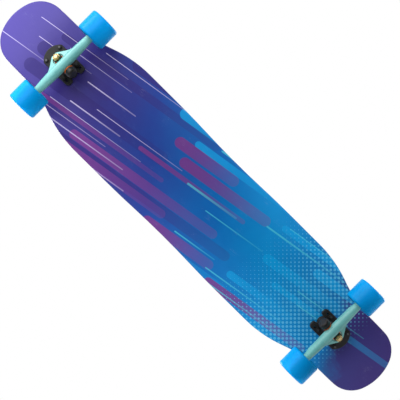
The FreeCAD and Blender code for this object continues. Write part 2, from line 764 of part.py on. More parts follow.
def make_baseplate(end):
    """Cast baseplate: plate with ears, leaning kingpin boss, and the tower that houses the pivot cup."""
    plate = new_body(f"{end}_baseplate", plate_place(end))
    name = plate.Label
    plan = sketch_on(plate, "XY_Plane", f"{name}_plan")
    draw_outline(plan, plate_outline())
    extrude(plate, plan, "Size.plate_thickness")
    thickness = value("Size.plate_thickness")

    def on_road_face(edge):
        return all(abs(vertex.Point.z - thickness) < LEVEL_TOLERANCE for vertex in edge.Vertexes)

    round_edges(plate, f"{name}_edge", "Size.plate_edge", on_road_face)

    sleeve = f"({CUP_SLEEVE} + Size.cup_fit_gap)"
    housing = f"({sleeve} + Size.housing_wall)"
    housing_end = f"({CUP_END} + Size.housing_wall)"
    sink = "Size.plate_thickness / 2"
    tower = sketch_on(plate, "XZ_Plane", f"{name}_tower", base=("0", "0", "-Size.tower_width / 2"))
    back = steering_point(f"{housing_end} - Size.housing_round / 2", f"-{housing} / 3")
    crown = steering_point(f"{HOUSING_MOUTH} + Size.housing_round / 2", f"-{housing} / 3")
    front = steering_point(HOUSING_MOUTH, "-(Size.cup_flange_radius + Size.tower_gap)")
    clear = "Size.boss_radius + Size.bushing_room"
    knee = steering_point(clear, f"2 * Size.washer_thickness - {BASE_SEAT}")
    shelf = steering_point(clear, f"-{BASE_SEAT}")
    toe = steering_point("0", f"-{BASE_SEAT} - Size.boss_radius")
    draw_outline(tower, [
        ("Size.notch_depth - Size.plate_inboard + 2 * Size.plate_edge", sink),
        (toe[0], sink),
        toe,
        shelf,
        knee,
        front,
        crown,
        back,
    ])
    extrude(plate, tower, "Size.tower_width")

    lean = Vector(0, 1, 0)
    seat = steering_point("0", f"-{BASE_SEAT}")
    seat_base = (seat[0], "0", seat[1])
    boss = sketch_on(plate, "XY_Plane", f"{name}_boss", seat_base, lean, "Size.kingpin_lean")
    draw_circles(boss, [("0", "0")], "Size.boss_radius")
    extrude(plate, boss, f"{seat[1]} / cos(Size.kingpin_lean) + Size.boss_radius", backwards=True)

    ring = (RING_X, RING_DEPTH, "0")
    shell = sketch_on(plate, "XZ_Plane", f"{name}_housing", ring, turn="180 - Size.kingpin_lean")
    draw_outline(shell, [
        (HOUSING_MOUTH, "0"),
        (HOUSING_MOUTH, housing),
        (housing_end, housing, "Size.housing_round"),
        (housing_end, "0"),
    ])
    turn_profile(plate, shell, "H_Axis")

    bore = sketch_on(plate, "XZ_Plane", f"{name}_cup_bore", ring, turn="180 - Size.kingpin_lean")
    bore_end = f"({CUP_END} + Size.cup_fit_gap)"
    draw_outline(bore, [
        ("Size.cup_mouth", "0"),
        ("Size.cup_mouth", sleeve),
        (bore_end, sleeve),
        (bore_end, "0"),
    ])
    turn_profile(plate, bore, "H_Axis", "Groove")

    hole = sketch_on(plate, "XY_Plane", f"{name}_kingpin_hole", seat_base, lean, "Size.kingpin_lean")
    draw_circles(hole, [("0", "0")], "Size.kingpin_diameter / 2 + Size.kingpin_gap")
    extrude(plate, hole, f"{KINGPIN_HEAD} * 2", "Pocket")

    head = steering_point("0", f"-{KINGPIN_HEAD}")
    head_base = (head[0], "0", head[1])
    pocket = sketch_on(plate, "XY_Plane", f"{name}_head_pocket", head_base, lean, "Size.kingpin_lean")
    draw_circles(pocket, [("0", "0")], "Size.kingpin_head_flats / sqrt(3) + Size.kingpin_head_gap")
    extrude(plate, pocket, f"{KINGPIN_HEAD} * 2", "Pocket")

    drill_bolts(plate, "Size.plate_thickness")

    level = sketch_on(plate, "XY_Plane", f"{name}_face")
    draw_outline(level, [
        ("-2 * Size.plate_outboard", "-Size.plate_width"),
        ("2 * Size.plate_outboard", "-Size.plate_width"),
        ("2 * Size.plate_outboard", "Size.plate_width"),
        ("-2 * Size.plate_outboard", "Size.plate_width"),
    ])
    extrude(plate, level, "2 * Size.plate_outboard", "Pocket")
    return plate


def make_pivot_cup(end):
    """Urethane cup that the hanger's nose turns in, with a flange on the tower's mouth."""
    cup = new_body(f"{end}_pivot_cup", ring_place(end))
    sketch = sketch_on(cup, "XZ_Plane", f"{cup.Label}_profile")
    taper = "(Size.nose_radius - Size.nose_ball_radius) / (Size.nose_ball - Size.nose_neck)"
    mouth_bore = f"(Size.nose_radius - (Size.cup_mouth - Size.nose_neck) * {taper} + Size.pivot_gap)"
    draw_outline(sketch, [
        ("-Size.cup_mouth", mouth_bore),
        ("-Size.cup_mouth", "Size.cup_flange_radius", "Size.cup_flange / 3"),
        (f"-{HOUSING_MOUTH}", "Size.cup_flange_radius"),
        (f"-{HOUSING_MOUTH}", CUP_SLEEVE),
        (f"-{CUP_END}", CUP_SLEEVE),
        (f"-{CUP_END}", "0"),
        (f"-(Size.nose_ball + {CUP_BORE})", "0", None, f"-{CUP_BORE}"),
        ("-Size.nose_ball", CUP_BORE),
    ])
    turn_profile(cup, sketch, "H_Axis")
    return cup


def make_kingpin(end):
    """Hex bolt from the baseplate through both bushings and the ring."""
    pin = new_body(f"{end}_kingpin", ring_place(end))
    head = sketch_on(pin, "XY_Plane", f"{pin.Label}_head", ("0", "0", f"-{KINGPIN_HEAD}"))
    draw_outline(head, hexagon("Size.kingpin_head_flats"))
    extrude(pin, head, "Size.kingpin_head_height", backwards=True)
    shaft = sketch_on(pin, "XZ_Plane", f"{pin.Label}_shaft")
    radius = "Size.kingpin_diameter / 2"
    draw_outline(shaft, [
        ("0", f"-{KINGPIN_HEAD} - Size.kingpin_head_height / 2"),
        (radius, f"-{KINGPIN_HEAD} - Size.kingpin_head_height / 2"),
        (radius, f"{KINGPIN_END} - Size.washer_edge"),
        (f"{radius} - Size.washer_edge", KINGPIN_END),
        ("0", KINGPIN_END),
    ])
    turn_profile(pin, shaft)
    return pin


def make_washer(label, radius, low, placement):
    """Washer over a bushing's end, its rim rounded."""
    bore = "Size.kingpin_diameter / 2 + Size.kingpin_gap"
    high = f"{low} + Size.washer_thickness"
    return turned(label, [
        (bore, low),
        (radius, low, "Size.washer_edge"),
        (radius, high, "Size.washer_edge"),
        (bore, high),
    ], placement)


def make_bushing(label, low, high, low_radius, high_radius, placement):
    """Urethane bushing round the kingpin, with rounded rims."""
    bore = "Size.kingpin_diameter / 2 + Size.kingpin_gap"
    return turned(label, [
        (bore, low),
        (low_radius, low, "Size.bushing_edge"),
        (high_radius, high, "Size.bushing_edge"),
        (bore, high),
    ], placement)


def make_kingpin_stack(end):
    """Kingpin, bushings, washers and nut of one truck."""
    place = ring_place(end)
    barrel = "Size.bushing_radius"
    cone_foot = "Size.roadside_radius"
    cone_top = "Size.roadside_top_radius"
    nut_place = place.multiply(Placement(Vector(0, 0, value(KINGPIN_NUT)), Rotation()))
    return [
        make_kingpin(end),
        make_bushing(f"{end}_boardside_bushing", f"-{BOARDSIDE_FOOT}", f"-{ROADSIDE_FOOT}",
                     barrel, barrel, place),
        make_bushing(f"{end}_roadside_bushing", ROADSIDE_FOOT, ROADSIDE_WASHER, cone_foot, cone_top, place),
        make_washer(f"{end}_boardside_washer", "Size.washer_radius", f"-{BASE_SEAT}", place),
        make_washer(f"{end}_roadside_washer", "Size.roadside_washer_radius", ROADSIDE_WASHER, place),
        lock_nut(f"{end}_kingpin_nut", "Size.kingpin_nut_flats", "Size.kingpin_nut_height",
                 "Size.kingpin_diameter", nut_place),
    ]


def yoke_outline():
    """Yoke seen along the kingpin: a short level apex, slanting sides, and fairings into the beam's side."""
    beam_side = "(Size.ring_reach - Size.beam_mid_radius)"
    run = "(Size.ring_reach + Size.yoke_reach)"
    slant = f"((Size.yoke_spread - Size.yoke_flat) / 2 / {run})"
    foot = f"(Size.yoke_flat / 2 + (Size.yoke_reach + {beam_side}) * {slant})"
    wing = f"({foot} + Size.yoke_flare)"
    tip_side = "(Size.ring_reach - Size.beam_end_radius)"
    return [
        ("-Size.ring_reach", f"-{wing}"),
        (f"-{tip_side}", f"-{wing}"),
        (f"-{beam_side}", f"-{foot}", "Size.yoke_fairing"),
        ("Size.yoke_reach", "-Size.yoke_flat / 2", "Size.yoke_corner"),
        ("Size.yoke_reach", "Size.yoke_flat / 2", "Size.yoke_corner"),
        (f"-{beam_side}", foot, "Size.yoke_fairing"),
        (f"-{tip_side}", wing),
        ("-Size.ring_reach", wing),
    ]


def make_hanger(end):
    """Cast hanger: tapered beam, faired yoke with the bushing seats, and the pivot nose."""
    hanger = new_body(f"{end}_hanger", ring_place(end))
    name = hanger.Label
    axle = ("-Size.ring_reach", "0", "Size.ring_drop")
    half = "Size.hanger_width / 2"
    beam = sketch_on(hanger, "XY_Plane", f"{name}_beam", axle)
    sagitta = "(Size.beam_mid_radius - Size.beam_end_radius)"
    draw_outline(beam, [
        ("0", f"-{half}"),
        ("Size.beam_end_radius", f"-{half}", None, f"({half})^2 / 2 / {sagitta} + {sagitta} / 2"),
        ("Size.beam_end_radius", half),
        ("0", half),
    ])
    turn_profile(hanger, beam)

    foot = "(Size.ring_thickness / 2 + Size.seat_depth)"
    yoke = sketch_on(hanger, "XY_Plane", f"{name}_yoke", ("0", "0", f"-{foot}"))
    draw_outline(yoke, yoke_outline())
    extrude(hanger, yoke, f"{foot} + Size.yoke_rise")
    levels = (-value(foot), value("Size.yoke_rise"))

    def on_yoke_rim(edge):
        heights = [vertex.Point.z for vertex in edge.Vertexes]
        return any(all(abs(height - level) < LEVEL_TOLERANCE for height in heights) for level in levels)

    round_edges(hanger, f"{name}_yoke_rim", "Size.yoke_edge", on_yoke_rim)

    nose = sketch_on(hanger, "XZ_Plane", f"{name}_nose")
    root = "(Size.ring_reach / 2)"
    draw_outline(nose, [
        (f"-{root}", "0"),
        (f"-{root}", "Size.nose_radius"),
        ("-Size.nose_neck", "Size.nose_radius"),
        ("-Size.nose_ball", "Size.nose_ball_radius", None, "Size.nose_ball_radius"),
        ("-(Size.nose_ball + Size.nose_ball_radius)", "0"),
    ])
    turn_profile(hanger, nose, "H_Axis")

    window = sketch_on(hanger, "XY_Plane", f"{name}_window", ("0", "0", "Size.ring_thickness / 2"))
    draw_circles(window, [("0", "0")], "Size.roadside_radius + Size.window_room")
    extrude(hanger, window, "Size.ring_drop + 2 * Size.beam_mid_radius", "Pocket", backwards=True)

    seat = sketch_on(hanger, "XY_Plane", f"{name}_seat", ("0", "0", "-Size.ring_thickness / 2"))
    draw_circles(seat, [("0", "0")], "Size.bushing_radius + Size.seat_radius_gap")
    extrude(hanger, seat, "Size.seat_depth * 2", "Pocket")

    hole = sketch_on(hanger, "XY_Plane", f"{name}_ring_hole", ("0", "0", "Size.ring_thickness"))
    draw_circles(hole, [("0", "0")], "Size.ring_hole_radius")
    extrude(hanger, hole, "Size.ring_thickness * 2", "Pocket")

    bore = sketch_on(hanger, "XY_Plane", f"{name}_axle_bore", axle)
    draw_outline(bore, [
        ("0", "-Size.hanger_width"),
        ("Size.axle_diameter / 2 + Size.slip_gap", "-Size.hanger_width"),
        ("Size.axle_diameter / 2 + Size.slip_gap", "Size.hanger_width"),
        ("0", "Size.hanger_width"),
    ])
    turn_profile(hanger, bore, kind="Groove")
    return hanger


def make_axle_set(end):
    """Axle with its nuts, speed washers, bearing inner rings and spacers."""
    radius = "Size.axle_diameter / 2"
    slip = f"({radius} + Size.slip_gap)"
    axle = turned(f"{end}_axle", [
        ("0", f"-{AXLE_END}"),
        (f"{radius} - Size.washer_edge", f"-{AXLE_END}"),
        (radius, f"-{AXLE_END} + Size.washer_edge"),
        (radius, f"{AXLE_END} - Size.washer_edge"),
        (f"{radius} - Size.washer_edge", AXLE_END),
        ("0", AXLE_END),
    ], axle_place(end))
    nut = lock_nut(f"{end}_axle_nut", "Size.axle_nut_flats", "Size.axle_nut_height", "Size.axle_diameter")
    washer = turned(f"{end}_speed_washer", [
        (slip, "0"),
        ("Size.speed_washer_radius", "0"),
        ("Size.speed_washer_radius", "Size.speed_washer_thickness"),
        (slip, "Size.speed_washer_thickness"),
    ])
    spacer = turned(f"{end}_bearing_spacer", [
        (slip, "0"),
        ("Size.spacer_radius", "0"),
        ("Size.spacer_radius", "Size.bearing_gap_width"),
        (slip, "Size.bearing_gap_width"),
    ])
    ring = turned(f"{end}_bearing_inner_ring", race_profile(slip, "-"))
    hub_start, hub_end = value(HUB_START), value(HUB_END)
    width = value("Size.bearing_width")
    return [
        axle,
        group(f"{end}_axle_nuts", nut, on_axle(end, [value(AXLE_NUT)])),
        group(f"{end}_speed_washers", washer, on_axle(end, [value("Size.hanger_width / 2"), hub_end])),
        group(f"{end}_bearing_spacers", spacer, on_axle(end, [hub_start + width])),
        group(f"{end}_bearing_inner_rings", ring, on_axle(end, bearing_middles())),
    ]


def on_axle(end, heights):
    """Places along both sides of an axle at the given distances from its middle."""
    return [
        axle_place(end, side).multiply(Placement(Vector(0, 0, height), Rotation()))
        for side in SIDES
        for height in heights
    ]


def bearing_middles():
    """Distances of a wheel's two bearings from the axle's middle."""
    half = value("Size.bearing_width / 2")
    return [value(HUB_START) + half, value(HUB_END) - half]


# Wheels and bearings

def race_profile(wall, side):
    """Bearing ring from its wall to its land, with a round ball groove; side is minus for the inner ring."""
    groove = "(Size.ball_diameter / 2 + Size.ball_gap)"
    land = f"(Size.ball_circle_radius {side} Size.race_land)"
    half = f"sqrt({groove}^2 - Size.race_land^2)"
    face = "Size.bearing_width / 2"
    bow = groove if side == "+" else f"-{groove}"
    return [
        (land, f"-{half}", None, bow),
        (land, half),
        (land, face),
        (wall, face),
        (wall, f"-{face}"),
        (land, f"-{face}"),
    ]


def make_wheel(end, side):
    """Tyre and core of one wheel with the turning parts of its two bearings."""
    name = f"{end}_{side}"
    place = axle_place(end, side)
    inner_face = f"({HUB_START} - Size.wheel_inset)"
    outer_face = f"({inner_face} + Size.wheel_width)"
    tyre = turned(f"{name}_tyre", [
        ("Size.core_radius", HUB_START),
        ("Size.wheel_face_radius", inner_face, "Size.wheel_lip / 2"),
        (WHEEL_RADIUS, inner_face, "Size.wheel_lip"),
        (WHEEL_RADIUS, outer_face, "Size.wheel_lip"),
        ("Size.wheel_face_radius", outer_face, "Size.wheel_lip / 2"),
        ("Size.core_radius", HUB_END),
    ], place)
    seat = "Size.bearing_diameter / 2 + Size.slip_gap"
    throat = f"{seat} - Size.core_shoulder"
    core = turned(f"{name}_core", [
        (seat, HUB_START),
        ("Size.core_radius", HUB_START),
        ("Size.core_radius", HUB_END),
        (seat, HUB_END),
        (seat, f"{HUB_END} - Size.bearing_width"),
        (throat, f"{HUB_END} - Size.bearing_width"),
        (throat, f"{HUB_START} + Size.bearing_width"),
        (seat, f"{HUB_START} + Size.bearing_width"),
    ], place)
    add_core_pockets(core)

    ring = turned(f"{name}_outer_ring", race_profile("Size.bearing_diameter / 2", "+"))
    ball = doc.addObject("Part::Sphere", f"{name}_ball")
    bind(ball, Radius="Size.ball_diameter / 2")
    shield = make_shield(f"{name}_shield")
    cage = make_cage(f"{name}_cage")
    middles = [place.multiply(Placement(Vector(0, 0, z), Rotation())) for z in bearing_middles()]
    seats = [
        middle.multiply(Placement(Vector(0, 0, 0), Rotation(Vector(1, 0, 0), turn)))
        for middle in middles
        for turn in (0, 180)
    ]
    return [
        tyre,
        core,
        group(f"{name}_outer_rings", ring, middles),
        group(f"{name}_balls", ball, [m.multiply(spot) for m in middles for spot in ball_spots()]),
        group(f"{name}_cages", cage, middles),
        group(f"{name}_shields", shield, seats),
    ]


def add_core_pockets(core):
    """Ring of blind round pockets in the core's outer face, between the bearing seat and the rim."""
    middle = "(Size.bearing_diameter / 2 + Size.core_radius) / 2"
    sketch = sketch_on(core, "XY_Plane", f"{core.Label}_pocket", ("0", "0", HUB_END))
    draw_circles(sketch, [(middle, "0")], "Size.core_pocket_radius")
    pocket = extrude(core, sketch, "Size.core_pocket_depth", "Pocket")
    ring = core.newObject("PartDesign::PolarPattern", f"{core.Label}_pockets")
    ring.Originals = [pocket]
    ring.Axis = (sketch, ["N_Axis"])
    ring.Angle = 360
    bind(ring, Occurrences="Size.core_pocket_count")
    core.Tip = ring


def ball_spots():
    """Places of the balls round a bearing's middle."""
    radius = value("Size.ball_circle_radius")
    count = int(value("Size.ball_count"))
    angles = [2 * math.pi * i / count for i in range(count)]
    return [Placement(Vector(radius * math.cos(a), radius * math.sin(a), 0), Rotation()) for a in angles]


def make_shield(label):
    """Thin ring that closes one side of a bearing, held by the outer ring."""
    outer = "Size.ball_circle_radius + Size.race_land"
    inner = "Size.ball_circle_radius - Size.race_land + Size.shield_gap"
    high = "Size.bearing_width / 2 - Size.shield_inset"
    return turned(label, [
        (inner, f"{high} - Size.shield_thickness"),
        (outer, f"{high} - Size.shield_thickness"),
        (outer, high),
        (inner, high),
    ])


def make_cage(label):
    """Crown cage: a ring beside the balls, short of the shield, with a round pocket for each of them."""
    wall = "Size.cage_wall / 2"
    edge = "Size.bearing_width / 2 - Size.shield_inset - Size.shield_thickness - Size.shield_gap"
    crown = turned(f"{label}_crown", [
        (f"Size.ball_circle_radius - {wall}", f"-({edge})"),
        (f"Size.ball_circle_radius + {wall}", f"-({edge})"),
        (f"Size.ball_circle_radius + {wall}", f"-{wall}"),
        (f"Size.ball_circle_radius - {wall}", f"-{wall}"),
    ])
    pocket = doc.addObject("Part::Sphere", f"{label}_pocket")
    bind(pocket, Radius="Size.ball_diameter / 2 + Size.ball_gap")
    pockets = group(f"{label}_pockets", pocket, ball_spots())
    cage = doc.addObject("Part::Cut", label)
    cage.Base = crown
    cage.Tool = pockets
    return cage


def build():
    """All the board's pieces, in the order in which it is put together."""
    nodes = [make_deck(), make_grip_tape(), make_deck_bolts(), make_deck_nuts()]
    for end in ENDS:
        nodes += [make_riser_pad(end), make_baseplate(end), make_pivot_cup(end)]
        nodes += make_kingpin_stack(end)
        nodes.append(make_hanger(end))
        nodes += make_axle_set(end)
        for side in SIDES:
            nodes += make_wheel(end, side)
    return nodes


def check(nodes):
    """Stop if an object failed or a piece's shape is empty or invalid."""
    broken = [item.Label for item in doc.Objects if {"Invalid", "Error"} & set(item.State)]
    if broken:
        raise RuntimeError(f"failed objects: {broken}")
    for node in nodes:
        if node.Shape.isNull() or not node.Shape.isValid() or not node.Shape.Solids:
            raise RuntimeError(f"no valid solid: {node.Label}")


pieces = build()
doc.recompute()
check(pieces)
os.makedirs("parts", exist_ok=True)
for piece in pieces:
    piece.Shape.exportStep(f"parts/{piece.Label}.step")
    print(f"{piece.Label}: {len(piece.Shape.Solids)} solids, {piece.Shape.Volume / 1000:.2f} cm3")
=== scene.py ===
"""Looks of a longboard skateboard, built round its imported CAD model.

Metres; +X towards the nose, +Y to the rider's left, +Z up, origin on the ground under the deck's
centre.
"""
import logging
import math
from collections.abc import Sequence
from dataclasses import dataclass
from enum import Enum

import bmesh
import bpy
import numpy as np
from mathutils import Matrix, Vector


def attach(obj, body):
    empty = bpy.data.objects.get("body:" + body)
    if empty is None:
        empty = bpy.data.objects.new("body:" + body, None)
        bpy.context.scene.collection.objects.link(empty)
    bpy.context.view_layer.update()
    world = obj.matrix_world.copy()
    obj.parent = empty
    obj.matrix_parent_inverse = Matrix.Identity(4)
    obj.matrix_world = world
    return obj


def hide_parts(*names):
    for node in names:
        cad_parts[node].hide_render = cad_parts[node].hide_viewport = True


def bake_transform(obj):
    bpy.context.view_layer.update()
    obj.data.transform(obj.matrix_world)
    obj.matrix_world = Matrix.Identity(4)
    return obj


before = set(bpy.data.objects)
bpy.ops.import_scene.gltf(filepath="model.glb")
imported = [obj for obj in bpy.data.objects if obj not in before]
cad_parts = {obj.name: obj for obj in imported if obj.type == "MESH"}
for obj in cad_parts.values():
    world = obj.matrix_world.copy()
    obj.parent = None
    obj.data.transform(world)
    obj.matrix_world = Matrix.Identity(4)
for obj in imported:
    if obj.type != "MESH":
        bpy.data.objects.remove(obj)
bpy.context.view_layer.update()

log = logging.getLogger("longboard")
Socket = bpy.types.NodeSocket
Feed = Socket | float | Sequence[float]
MM = 0.001
AXLE_X = 413 * MM
AXLE_Z = 35 * MM
MERGE_DISTANCE = 1e-7
SHARP_ANGLE = math.radians(40)


class End(Enum):
    """Ends of the board, with the sign of their X."""

    FRONT = 1
    REAR = -1

    @property
    def prefix(self) -> str:
        """Start of the names of this end's CAD nodes."""
        return self.name.lower()

    @property
    def axle(self) -> tuple[float, float]:
        """X and Z of this end's axle."""
        return self.value * AXLE_X, AXLE_Z


class Side(Enum):
    """Sides of the board, with the sign of their Y."""

    LEFT = 1
    RIGHT = -1

    @property
    def label(self) -> str:
        """This side in the names of pieces and CAD nodes."""
        return self.name.lower()


class Effect(Enum):
    """Node groups that several finishes share."""

    MOTTLE = "colour_mottle"
    SCUFFS = "fine_scuffs"
    RINGS = "turned_rings"
    PEEL = "paint_peel"


@dataclass(frozen=True)
class Colour:
    """Colour as it shows on a screen, three numbers from 0 to 255."""

    red: float
    green: float
    blue: float

    @property
    def linear(self) -> tuple[float, float, float, float]:
        """The colour as the shader takes it, by the usual curve of a screen.

        Returns:
            Red, green and blue from 0 to 1, and a full alpha.
        """
        parts = np.array((self.red, self.green, self.blue)) / 255
        parts = np.where(parts <= 0.04045, parts / 12.92, ((parts + 0.055) / 1.055) ** 2.4)
        return (*(float(part) for part in parts), 1.0)


@dataclass
class Graph:
    """Nodes and links of one shader tree."""

    tree: bpy.types.NodeTree

    def feed(self, socket: Socket, source: Feed) -> None:
        """Link a socket to another one, or set its value.

        Args:
            socket: Input to set.
            source: Output to link, or a plain value.
        """
        if isinstance(source, bpy.types.NodeSocket):
            self.tree.links.new(source, socket)
        else:
            socket.default_value = source

    def add(self, kind: str, feeds: dict[str | int, Feed] | None = None,
            **settings: object) -> bpy.types.Node:
        """Add a node.

        Args:
            kind: Name of the node type.
            feeds: Inputs by name or number, with what they take.
            **settings: The node's own properties.

        Returns:
            The new node.
        """
        node = self.tree.nodes.new(kind)
        for name, setting in settings.items():
            setattr(node, name, setting)
        for key, source in (feeds or {}).items():
            self.feed(node.inputs[key], source)
        return node

    def math(self, operation: str, *terms: Feed) -> Socket:
        """Result of a Math node over its terms."""
        return self.add("ShaderNodeMath", dict(enumerate(terms)), operation=operation).outputs[0]

    def hypotenuse(self, first: Feed, second: Feed) -> Socket:
        """Root of the sum of two squares."""
        squares = [self.math("MULTIPLY", term, term) for term in (first, second)]
        return self.math("SQRT", self.math("ADD", *squares))

    def mix(self, share: Feed, first: Feed, second: Feed) -> Socket:
        """Colour between first and second by share."""
        feeds = {0: share, 6: first, 7: second}
        return self.add("ShaderNodeMix", feeds, data_type="RGBA").outputs[2]

    def choose(self, test: Feed, otherwise: Feed, chosen: Feed) -> Socket:
        """The chosen value where the test is 1, and the other one where it is 0."""
        feeds = {0: test, 2: otherwise, 3: chosen}
        return self.add("ShaderNodeMix", feeds, data_type="FLOAT").outputs[0]

    def step(self, value: Feed, low: Feed, high: Feed) -> Socket:
        """Smooth step of a value, from 0 at low to 1 at high."""
        feeds = {"Value": value, "From Min": low, "From Max": high}
        return self.add("ShaderNodeMapRange", feeds, interpolation_type="SMOOTHSTEP").outputs[0]

    def between(self, value: Feed, low: Feed, high: Feed) -> Socket:
        """Value from 0 to 1 carried over to the range from low to high."""
        feeds = {"Value": value, "To Min": low, "To Max": high}
        return self.add("ShaderNodeMapRange", feeds).outputs[0]

    def place(self) -> Socket:
        """Object coordinates of the shaded point."""
        return self.add("ShaderNodeTexCoord").outputs["Object"]

    def split(self, place: Feed) -> Sequence[Socket]:
        """X, Y and Z of coordinates."""
        return self.add("ShaderNodeSeparateXYZ", {0: place}).outputs

    def moved(self, place: Feed, shift: Sequence[float] = (0, 0, 0),
              turn: Sequence[float] = (0, 0, 0), stretch: Sequence[float] = (1, 1, 1)) -> Socket:
        """Coordinates scaled by stretch, turned and shifted by a Mapping node.

        Args:
            place: Coordinates to change.
            shift: What is added last.
            turn: Angles about X, Y and Z in radians.
            stretch: Factors taken first.

        Returns:
            The changed coordinates.
        """
        feeds = {"Vector": place, "Location": shift, "Rotation": turn, "Scale": stretch}
        return self.add("ShaderNodeMapping", feeds).outputs[0]

    def noise(self, place: Feed, scale: Feed, detail: float, roughness: float = 0.5) -> Socket:
        """Fractal noise from 0 to 1 at a number of features a metre."""
        feeds = {"Vector": place, "Scale": scale, "Detail": detail, "Roughness": roughness}
        return self.add("ShaderNodeTexNoise", feeds).outputs[0]

    def chance(self, cell: Feed, seed: float) -> Socket:
        """Random value from 0 to 1 for a whole number."""
        feeds = {"W": self.math("ADD", cell, seed)}
        return self.add("ShaderNodeTexWhiteNoise", feeds, noise_dimensions="1D").outputs["Value"]

    def palette(self, share: Feed, stops: Sequence[tuple[float, Colour]]) -> Socket:
        """Colour from a ramp.

        Args:
            share: Position on the ramp, from 0 to 1.
            stops: Positions of the stops with their colours.

        Returns:
            The colour.
        """
        node = self.add("ShaderNodeValToRGB", {"Fac": share})
        marks = node.color_ramp.elements
        while len(marks) < len(stops):
            marks.new(1.0)
        for mark, (position, colour) in zip(marks, stops):
            mark.position = position
            mark.color = colour.linear
        return node.outputs["Color"]

    def effect(self, kind: Effect, feeds: dict[str, Feed]) -> Socket:
        """Output of one of the shared node groups, with its inputs by name."""
        group = bpy.data.node_groups[kind.value]
        return self.add("ShaderNodeGroup", feeds, node_tree=group).outputs[0]

    def scuffs(self, place: Feed, scale: float, limit: float) -> Socket:
        """Mask of hairline marks, so many a metre, where a patchy noise is over a limit."""
        return self.effect(Effect.SCUFFS, {"Place": place, "Scale": scale, "Limit": limit})

    def lathe_marks(self, place: Feed, axle: tuple[float, float], pitch: float) -> Socket:
        """Marks of a lathe, a pitch apart, about an axle along Y with the given X and Z."""
        hub = self.moved(place, shift=(-axle[0], 0, -axle[1]))
        return self.effect(Effect.RINGS, {"Place": hub, "Pitch": pitch})

    def bump(self, height: Feed, distance: float) -> Socket:
        """Normal over a height from 0 to 1 that stands for a distance in metres."""
        feeds = {"Height": height, "Distance": distance}
        return self.add("ShaderNodeBump", feeds).outputs["Normal"]


@dataclass
class Surface:
    """Material with one Principled shader, the graph that feeds it and its Object coordinates."""

    name: str

    def __post_init__(self) -> None:
        """Make the material with its shader and output."""
        self.material = bpy.data.materials.new(self.name)
        self.material.use_nodes = True
        self.material.node_tree.nodes.clear()
        self.graph = Graph(self.material.node_tree)
        self.shader = self.graph.add("ShaderNodeBsdfPrincipled")
        self.graph.add("ShaderNodeOutputMaterial", {"Surface": self.shader.outputs[0]})
        self.place = self.graph.place()

    def set(self, **feeds: Feed) -> bpy.types.Material:
        """Set the shader's inputs, with underscores for the spaces of their names.

        Args:
            **feeds: Input names in lower case, with their sources.

        Returns:
            The finished material.
        """
        names = {socket.name.lower().replace(" ", "_"): socket for socket in self.shader.inputs}
        for name, source in feeds.items():
            self.graph.feed(names[name], source)
        return self.material


